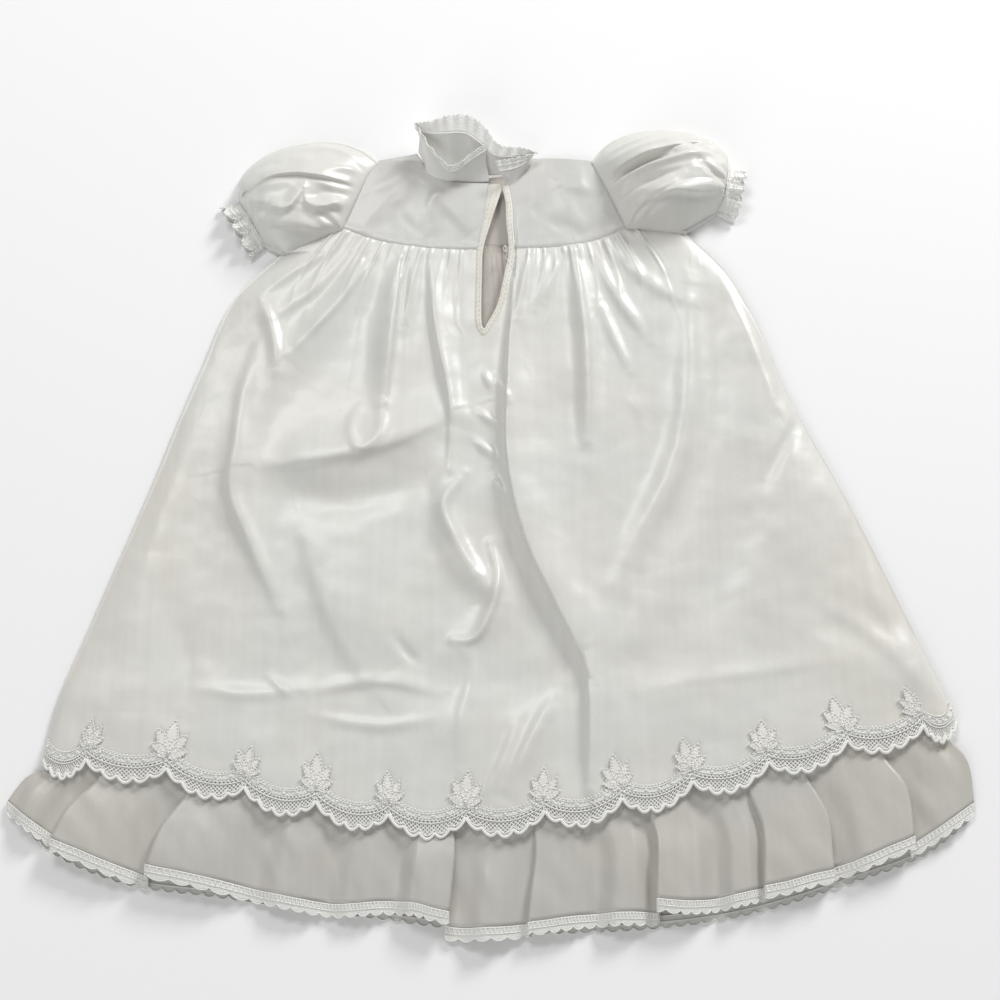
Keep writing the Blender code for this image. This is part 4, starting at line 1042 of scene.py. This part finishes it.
# Sleeves: outline from the shoulder, cuff line, outline from the underarm, heights and folds
sleeveRow = namedtuple("sleeveRow", "side upper cuff lower crown cuffHeight folds creases")
sleeves = [
    sleeveRow("left",
              [(-84, 266), (-94, 274), (-105, 279), (-122, 282), (-141, 280), (-158, 275), (-174, 265),
               (-185, 250), (-185, 232)],
              [(-185, 232), (-178, 220), (-171, 208), (-164, 196)], [(-152, 190), (-164, 196)], 24, 10,
              (0.0, 0.5, -0.4, -0.8, 0.6, 0.2, -0.7, 0.5, 0.0, -0.4, 0.3),
              [([(-176, 236), (-161, 244), (-144, 247), (-128, 246), (-97, 243)], 2.4, 10, 5.4, -3.0),
               ([(-162, 221), (-148, 217), (-136, 233)], 2.6, 5.0, 4.2, -1.6),
               ([(-134, 233), (-131, 222), (-104, 225)], 2.6, 6.0, 3.4, -1.4),
               ([(-165, 208), (-143, 206), (-116, 206)], 2.6, 6.0, 3.8, -1.8),
               ([(-94, 262), (-117, 258), (-150, 257)], 8.0, 6.0, 2.4),
               ([(-86, 263), (-104, 268), (-130, 274)], 2.4, 3.0, 1.8),
               ([(-92, 253), (-108, 253), (-126, 249)], 2.2, 2.6, 2.0),
               ([(-98, 238), (-112, 236), (-128, 239)], 2.2, 2.6, 1.8),
               ([(-103, 227), (-118, 221), (-130, 214)], 2.2, 2.6, 1.8),
               ([(-150, 268), (-168, 256), (-178, 240)], 4.0, 6.0, -2.0),
               ([(-112, 211), (-131, 198), (-150, 188)], 2.5, 3.0, 2.4),
               ([(-100, 234), (-118, 232), (-134, 226)], 4.0, 4.0, -2.4)]),
    sleeveRow("right",
              [(74, 266), (83, 278), (98, 287), (114, 291), (132, 292), (150, 288), (165, 280), (174, 269),
               (173, 258)],
              [(173, 258), (171, 246), (169, 234), (164, 222)], [(141, 207), (164, 222)], 33, 14,
              (0.0, 0.6, -0.8, 0.8, -0.6, 0.8, -0.8, 0.6, -0.4, 0.5, 0.0),
              [([(80, 249), (104, 260), (142, 269)], 2.2, 9.0, 6.5, -4.5),
               ([(76, 263), (95, 271), (116, 277)], 2.4, 3.0, 1.8),
               ([(78, 256), (98, 265), (126, 274)], 2.2, 3.0, 2.0),
               ([(81, 242), (104, 251), (130, 259)], 3.4, 3.4, -9.0),
               ([(83, 233), (107, 244), (133, 252), (157, 260)], 2.8, 3.0, 5.0, 1.0),
               ([(88, 227), (112, 236), (140, 244)], 2.6, 2.6, -4.0),
               ([(108, 221), (130, 228), (150, 229), (165, 234)], 2.4, 7.0, 4.4, -2.2),
               ([(94, 210), (118, 214), (140, 220)], 3.0, 4.0, 2.6),
               ([(140, 272), (158, 262), (170, 254)], 4.0, 5.0, -1.8),
               ([(96, 205), (128, 204), (150, 204)], 4.0, 5.0, -2.6),
               ([(150, 252), (161, 243), (170, 239)], 3.0, 3.0, -4.0)]),
]
puff = {"roll": 2.3, "dome": 0.58, "puff": 0.55, "puffEnd": 0.98, "foldStart": 0.1, "rim": 0.5,
        "parts": (20, 3, 8, 3), "perPart": 6, "rows": 80, "gather": 0.9, "gathers": 9, "share": 0.57,
        "reach": 14.0, "flare": 3.0, "wall": 0.4}
cuffLace = {"rows": 12, "wall": 0.35, "base": 7.5, "scallop": 5.6, "scallops": 3, "round": 0.8, "picot": 0.9,
            "picots": 15, "wave": 3.2, "waveTurn": 2.6, "crinkle": 1.2, "crinkles": 9, "marks": 260,
            "cord": 1.0, "cordShares": (0.2, 0.62, 0.98), "cordLift": 0.3, "bead": 1.3, "beads": 26,
            "beadShare": 0.42, "beadLift": 0.5}


def aroundSleeve(u):
    # which part of the round the share u is on, its top, far roll, underside or near roll
    edges = np.cumsum((0,) + puff["parts"]) / sum(puff["parts"])
    part = np.clip(np.searchsorted(edges, np.minimum(u, 1 - 1e-9), side="right") - 1, 0, 3)
    return part, np.clip((u - edges[part]) / (edges[part + 1] - edges[part]), 0, 1)


def sleeveSection(u, width, height):
    part, share = aroundSleeve(u)
    roll = puff["roll"] / width
    bulge = roll * (1 - np.sin(np.pi * share))
    dome = np.sin(np.pi * np.clip(share, 1e-6, 1 - 1e-6)) ** puff["dome"]
    across = np.select([part == 0, part == 1, part == 2],
                       [roll + (1 - 2 * roll) * share, 1 - bulge, 1 - roll - (1 - 2 * roll) * share], bulge)
    far, near = (puff["roll"] * (1 + sign * np.cos(np.pi * share)) for sign in (1, -1))
    z = np.select([part == 0, part == 1, part == 2],
                  [2 * puff["roll"] + (height - 2 * puff["roll"]) * dome, far, 0 * share], near)
    return across, z


def makeSleeve(row):
    outward = np.array([1 if row.side == "left" else -1, -1]) * tuck
    corner, underarm = np.array(armholes[row.side][-1]), np.array(underarms[row.side])
    armhole = joined(curve(armholes[row.side]), curve([corner, underarm]), puff["share"])
    armhole = moved(armhole, *outward)
    upper = curve([np.array(row.upper[0]) + outward, *row.upper[1:]])
    lower = curve([underarm + outward, row.lower[-1]])
    cuff = curve(row.cuff)
    plan = panel(armhole, cuff, upper, lower)

    def tube(u, v):
        width = np.linalg.norm(plan(np.ones(len(v)), v) - plan(np.zeros(len(v)), v), axis=-1)
        part, share = aroundSleeve(u)
        top = part == 0
        edge = armhole(np.where(top, share, 0))
        rim = backUnder(edge[..., 0], edge[..., 1]) + puff["rim"]
        swell = np.where(v < puff["puffEnd"], np.sin(np.pi * np.minimum(v / puff["puffEnd"], 1)), 0)
        swell = np.maximum(swell, 0) ** puff["puff"]
        ends = rim * (1 - v) + row.cuffHeight * v
        height = np.maximum(ends + (row.crown - ends) * swell, 2 * puff["roll"])
        across, z = sleeveSection(u, width, height)
        where = plan(across, v)
        fold = np.interp(share, np.linspace(0, 1, len(row.folds)), row.folds)
        hold = np.sqrt(np.maximum(np.sin(np.pi * share), 0)) * rise(0, puff["foldStart"], v) * top
        crease, shift = folded(row.creases, where[..., 0], where[..., 1])
        ends = np.where(v < 0.5, np.exp(-v / 0.13), np.exp((v - 1) / 0.05))
        uneven = 1 + 0.7 * np.sin(9 * share + 2)
        beat = puff["gathers"] * (share + 0.03 * np.sin(11 * share))
        gather = puff["gather"] * ends * uneven * np.cos(2 * np.pi * beat)
        small = ripple(where * np.array([0.8, 1.4]), 15.0, 1.5, 5.0) * rise(0, 0.2, v) * rise(1, 0.85, v)
        z = np.maximum(z + (fold + crease * rise(1, 0.9, v) + gather * rise(0, 0.06, v) + small) * hold, 0)
        where = where + shift * (hold * rise(1, 0.9, v))[..., None]
        return stack(where[..., 0], where[..., 1], z)

    columns = sum(puff["parts"]) * puff["perPart"]
    mesh = welded(clothMesh(row.side + "Sleeve", columns, puff["rows"], tube))
    node = f"sleeve_{row.side}"
    piece = addPiece(row.side + "Sleeve", mesh, satin, [node], puff["wall"], row.side == "left")
    return piece, makeCuff(row, cuff)


def cuffEdge(share):
    # outline of the cuff's lace: three scallops across, each with fine picots
    put = cuffLace
    scallop = put["scallop"] * np.abs(np.sin(put["scallops"] * np.pi * share)) ** put["round"]
    return put["base"] + scallop + put["picot"] * np.abs(np.sin(put["picots"] * np.pi * share))


def makeCuff(row, cuff):
    start, end, put = np.array(row.cuff[0]), np.array(row.cuff[-1]), cuffLace
    width = np.linalg.norm(end - start)
    along = (end - start) / width
    out = np.array([along[1], -along[0]]) * (1 if row.side == "left" else -1)

    def spot(u, reach):
        part, share = aroundSleeve(u)
        across, z = sleeveSection(u, width, row.cuffHeight)
        v = reach / puff["reach"]
        run = cuff(across) + out * reach[..., None]
        run = run + along * (puff["flare"] * v * (2 * across - 1))[..., None]
        wave = np.sin(np.pi * share) * (part == 0) * v
        broad = put["wave"] * np.cos(2 * np.pi * put["scallops"] * share + put["waveTurn"])
        z = z + wave * (broad + put["crinkle"] * np.cos(2 * np.pi * put["crinkles"] * share))
        return stack(run[..., 0], run[..., 1], np.maximum(z, 0))

    def shape(u, v):
        return spot(u, v * cuffEdge(aroundSleeve(u)[1]))

    name = row.side + "CuffLace"
    columns = sum(puff["parts"]) * puff["perPart"]
    mesh = welded(clothMesh(name, columns, put["rows"], shape, uvSize=(95, -13)))
    node = f"cuff_lace_{row.side}"
    net = addPiece(name, mesh, frillNet, [node], put["wall"], row.side == "left")
    u = np.linspace(0, 1, put["marks"])[:-1]
    share = aroundSleeve(u)[1]
    lift = np.array([0, 0, put["cordLift"]])
    lines = [spot(u, cuffEdge(share) * k) + lift for k in put["cordShares"]]
    trims = [cords(name + "Cords", lines, put["cord"], laceThread, closed=True)]
    top = np.linspace(0.02, 0.56, put["beads"])
    dots = spot(top, put["beadShare"] * cuffEdge(aroundSleeve(top)[1])) + np.array([0, 0, put["beadLift"]])
    trims.append(beads(name + "Beads", dots, put["bead"], laceThread))
    return net, trims


sleevePieces = {row.side: makeSleeve(row) for row in sleeves}
print("sleeves made")

# Collar: foot and head of the stand band, then the frill's edge, round the neck
collarRow = namedtuple("collarRow", "foot head edge")
collarRows = [collarRow(*points) for points in [
    ((-2, 247.5, 4.0), (-4, 265, 20), (-3, 270, 23)),
    ((-17, 247, 4.0), (-14, 258, 20), (-12, 263, 23)),
    ((-33, 248, 4.0), (-29, 249, 18), (-29, 252, 21)),
    ((-46, 252, 4.0), (-41, 260, 20), (-43, 264, 23)),
    ((-50, 264, 5), (-50, 275, 18), (-52, 279, 23)),
    ((-54, 273.5, 3.2), (-53, 282, 17), (-56, 286, 22)),
    ((-43, 261.5, 2.4), (-43, 280, 19), (-45, 287, 23)),
    ((-31, 257.5, 2.4), (-33, 279, 21), (-33, 290, 25)),
    ((-18, 255.5, 2.4), (-20, 279, 21), (-19, 291, 25)),
    ((-5, 254.5, 2.4), (-9, 272, 20), (-7, 284, 24)),
    ((7, 255.5, 2.4), (3, 264, 15), (5, 271, 18)),
    ((19, 260, 2.6), (18, 266, 10), (20, 272, 12)),
    ((29.5, 269.5, 2.4), (29, 268, 9), (33, 268, 12)),
    ((27, 259, 3.5), (23, 258, 12), (25, 263, 16)),
    ((20, 250, 4.5), (15, 252, 15), (14, 258, 20)),
    ((13, 242, 4.6), (6, 249, 17), (2, 255, 21)),
]]
collar = {"columns": 230, "rows": 22, "wall": 0.4, "flare": 2.0, "wrinkle": 2.4, "wrinkleSize": 17.0,
          "frillWaves": 26, "frillWave": 0.8, "frillWall": 0.35, "picots": 62, "frillStart": 0.04,
          "frillRows": 10, "cord": 0.9, "cordShares": (0.12, 0.6), "bead": 1.2, "beadShare": 0.85}


def makeCollar():
    foot, head, edge = (evenCurve([getattr(row, part) for row in collarRows]) for part in collarRow._fields)

    def band(u, v):
        spread = np.stack([v ** collar["flare"], v ** collar["flare"], v], axis=-1)
        found = head(u) + (foot(u) - head(u)) * spread
        plan = np.stack([u * 260, v * 22], axis=-1)
        bend = ripple(plan, collar["wrinkleSize"], collar["wrinkle"], 2.0)
        bend = bend * np.sin(np.pi * np.clip(v, 0, 1)) ** 0.7
        found[..., 1] += bend
        found[..., 0] += 0.6 * bend
        return found

    def frillPoint(u, share):
        up = edge(u) - head(u)
        side = np.cross(head(np.clip(u + 0.004, 0, 1)) - head(np.clip(u - 0.004, 0, 1)), up)
        side = side / np.maximum(np.linalg.norm(side, axis=-1), 1e-6)[..., None]
        wave = collar["frillWave"] * np.sin(2 * np.pi * collar["frillWaves"] * u) * np.clip(share, 0, 1)
        return head(u) + up * share[..., None] + side * wave[..., None]

    def picotShare(u):
        return 0.9 + 0.16 * np.abs(np.sin(np.pi * collar["picots"] * u))

    def frill(u, v):
        start = collar["frillStart"]
        return frillPoint(u, start + (picotShare(u) - start) * (1 - v))

    mesh = clothMesh("collarBand", collar["columns"], collar["rows"], band)
    bandPiece = addPiece("collarBand", mesh, bandSatinPaintedLight, ["collar_band"], collar["wall"])
    mesh = clothMesh("collarFrill", collar["picots"] * 8, collar["frillRows"], frill, uvSize=(260, 9))
    net = addPiece("collarFrill", mesh, frillNet, ["collar_lace"], collar["frillWall"])
    u = np.linspace(0.002, 0.998, collar["picots"] * 10)
    lines = [frillPoint(u, picotShare(u))]
    lines += [frillPoint(u, np.full(len(u), share)) for share in collar["cordShares"]]
    trims = [cords("collarFrillCords", lines, collar["cord"], laceThread)]
    at = np.linspace(0.01, 0.99, collar["picots"])
    dots = frillPoint(at, np.full(len(at), collar["beadShare"]))
    trims.append(beads("collarFrillBeads", dots, collar["bead"], laceThread))
    return bandPiece, net, trims


collarBand, collarFrill, collarTrims = makeCollar()
print("collar made")

# Facing round the back opening, its stitches, and the thread knot at its right edge
facingTable = {"columns": 170, "rows": 8, "gap": -1.0, "lift": 1.1, "drop": 1.3, "wall": 0.3, "stitch": 2.4,
               "stitchGap": 1.3, "thread": 0.4, "insets": (0.25, 0.62), "knot": (9.8, 190.5, 11.0),
              "knotThread": 0.55,
              "tail": [(0, 0, 0), (1.2, -3.0, -0.8), (0.2, -6.0, -1.2), (1.5, -8.5, -1.6)]}


def makePlacket():
    put = facingTable
    outer = [(row.leftCloth + put["gap"], row.y) for row in placket]
    outer += [(placketEnd["cloth"][0], placketEnd["cloth"][1] + 2 * put["gap"])]
    outer += [(row.rightCloth - put["gap"], row.y) for row in reversed(placket)]
    inner = [(row.leftHole, row.y) for row in placket] + [placketEnd["hole"]]
    inner += [(row.rightHole, row.y) for row in reversed(placket)]
    outer, inner = evenCurve(outer), evenCurve(inner)

    def shape(u, v):
        plan = inner(u) + (outer(u) - inner(u)) * v[..., None]
        found = backCloth(plan[..., 0], plan[..., 1])
        found[..., 2] += put["lift"] - put["drop"] * v ** 4
        return found

    mesh = clothMesh("placketFacing", put["columns"], put["rows"], shape)
    piece = addPiece("placketFacing", mesh, facing, ["placket_binding"], put["wall"])
    lift = np.array([0, 0, put["wall"] + 0.15])
    stitches = []
    for side in put["insets"]:
        run = shape(np.linspace(0.01, 0.99, 500), np.full(500, side))
        walked = np.concatenate([[0], np.cumsum(np.linalg.norm(np.diff(run, axis=0), axis=1))])
        for start in np.arange(0, walked[-1] - put["stitch"], put["stitch"] + put["stitchGap"]):
            marks = np.linspace(start, start + put["stitch"], 4)
            stitches.append(np.stack([np.interp(marks, walked, run[:, k]) for k in range(3)], axis=-1) + lift)
    trims = [cords("placketStitches", stitches, put["thread"], sewingThread)]
    knot = np.array(put["knot"])
    t = np.linspace(0, 2 * np.pi * 3, 60)
    ball = knot + np.stack([1.5 * np.cos(t) * np.cos(t / 5), 2.2 * np.sin(t), 0.9 * np.sin(t * 0.7)], axis=-1)
    tail = curve(knot + np.array(put["tail"]))(np.linspace(0, 1, 14))
    trims.append(cords("openingThread", [ball, tail], put["knotThread"], sewingThread))
    return piece, trims


placketPiece, placketTrims = makePlacket()
print("opening made")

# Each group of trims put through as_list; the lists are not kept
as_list(hemLaceTrims)
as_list(backEdging[1])
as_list(frontEdging[1])
for side, (piece, cuffPiece) in sleevePieces.items():
    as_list(cuffPiece[1])
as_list(collarTrims)
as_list(placketTrims)


# Floor, light and camera
studio = {"floor": (0.965, 0.965, 0.965), "floorSize": 3.0, "floorDrop": 0.0003, "floorRough": 0.9,
          "world": 0.32}
lampRow = namedtuple("lampRow", "name place width height power")
lamps = [
    lampRow("keyLight", (1.65, 2.35, 1.5), 0.9, 0.9, 68.0),
    lampRow("sheenLight", (-0.7, 1.5, 2.3), 1.2, 0.6, 20.0),
    lampRow("fillLight", (-1.3, -2.6, 1.5), 1.8, 1.8, 26.0),
]
lens = {"tilt": 72.0, "distance": 1.15, "focal": 60.0, "sensor": 36.0, "target": (0.0059, 0.0033, 0.0)}


def makeFloor():
    sheet = bmesh.new()
    bmesh.ops.create_grid(sheet, x_segments=1, y_segments=1, size=studio["floorSize"])
    bmesh.ops.translate(sheet, verts=sheet.verts, vec=(0, 0, -studio["floorDrop"]))
    mesh = meshOf("studioFloor", sheet)
    nodes = finishNodes("studioFloor")
    nodes.shader.inputs["Base Color"].default_value = (*studio["floor"], 1)
    nodes.shader.inputs["Roughness"].default_value = studio["floorRough"]
    mesh.materials.append(nodes.material)
    floor = linked("studioFloor", mesh)


def areaLight(row):
    data = bpy.data.lights.new(row.name, "AREA")
    data.shape, data.size, data.size_y, data.energy = "RECTANGLE", row.width, row.height, row.power
    lamp = linked(row.name, data)
    lamp.location = row.place
    lamp.rotation_euler = (-Vector(row.place)).to_track_quat("-Z", "Y").to_euler()


def makeStudio():
    makeFloor()
    for row in lamps:
        areaLight(row)
    world = bpy.data.worlds.new("studio")
    world.use_nodes = True
    world.node_tree.nodes["Background"].inputs["Color"].default_value = (1, 1, 1, 1)
    world.node_tree.nodes["Background"].inputs["Strength"].default_value = studio["world"]
    bpy.context.scene.world = world
    bpy.context.scene.view_settings.view_transform = "Standard"
    data = bpy.data.cameras.new("camera")
    data.lens, data.sensor_width = lens["focal"], lens["sensor"]
    camera = linked("camera", data)
    tilt = math.radians(lens["tilt"])
    away = Vector((0, -math.cos(tilt), math.sin(tilt))) * lens["distance"]
    camera.location = Vector(lens["target"]) + away
    camera.rotation_euler = (math.pi / 2 - tilt, 0, 0)
    bpy.context.scene.camera = camera


makeStudio()
print("studio made")
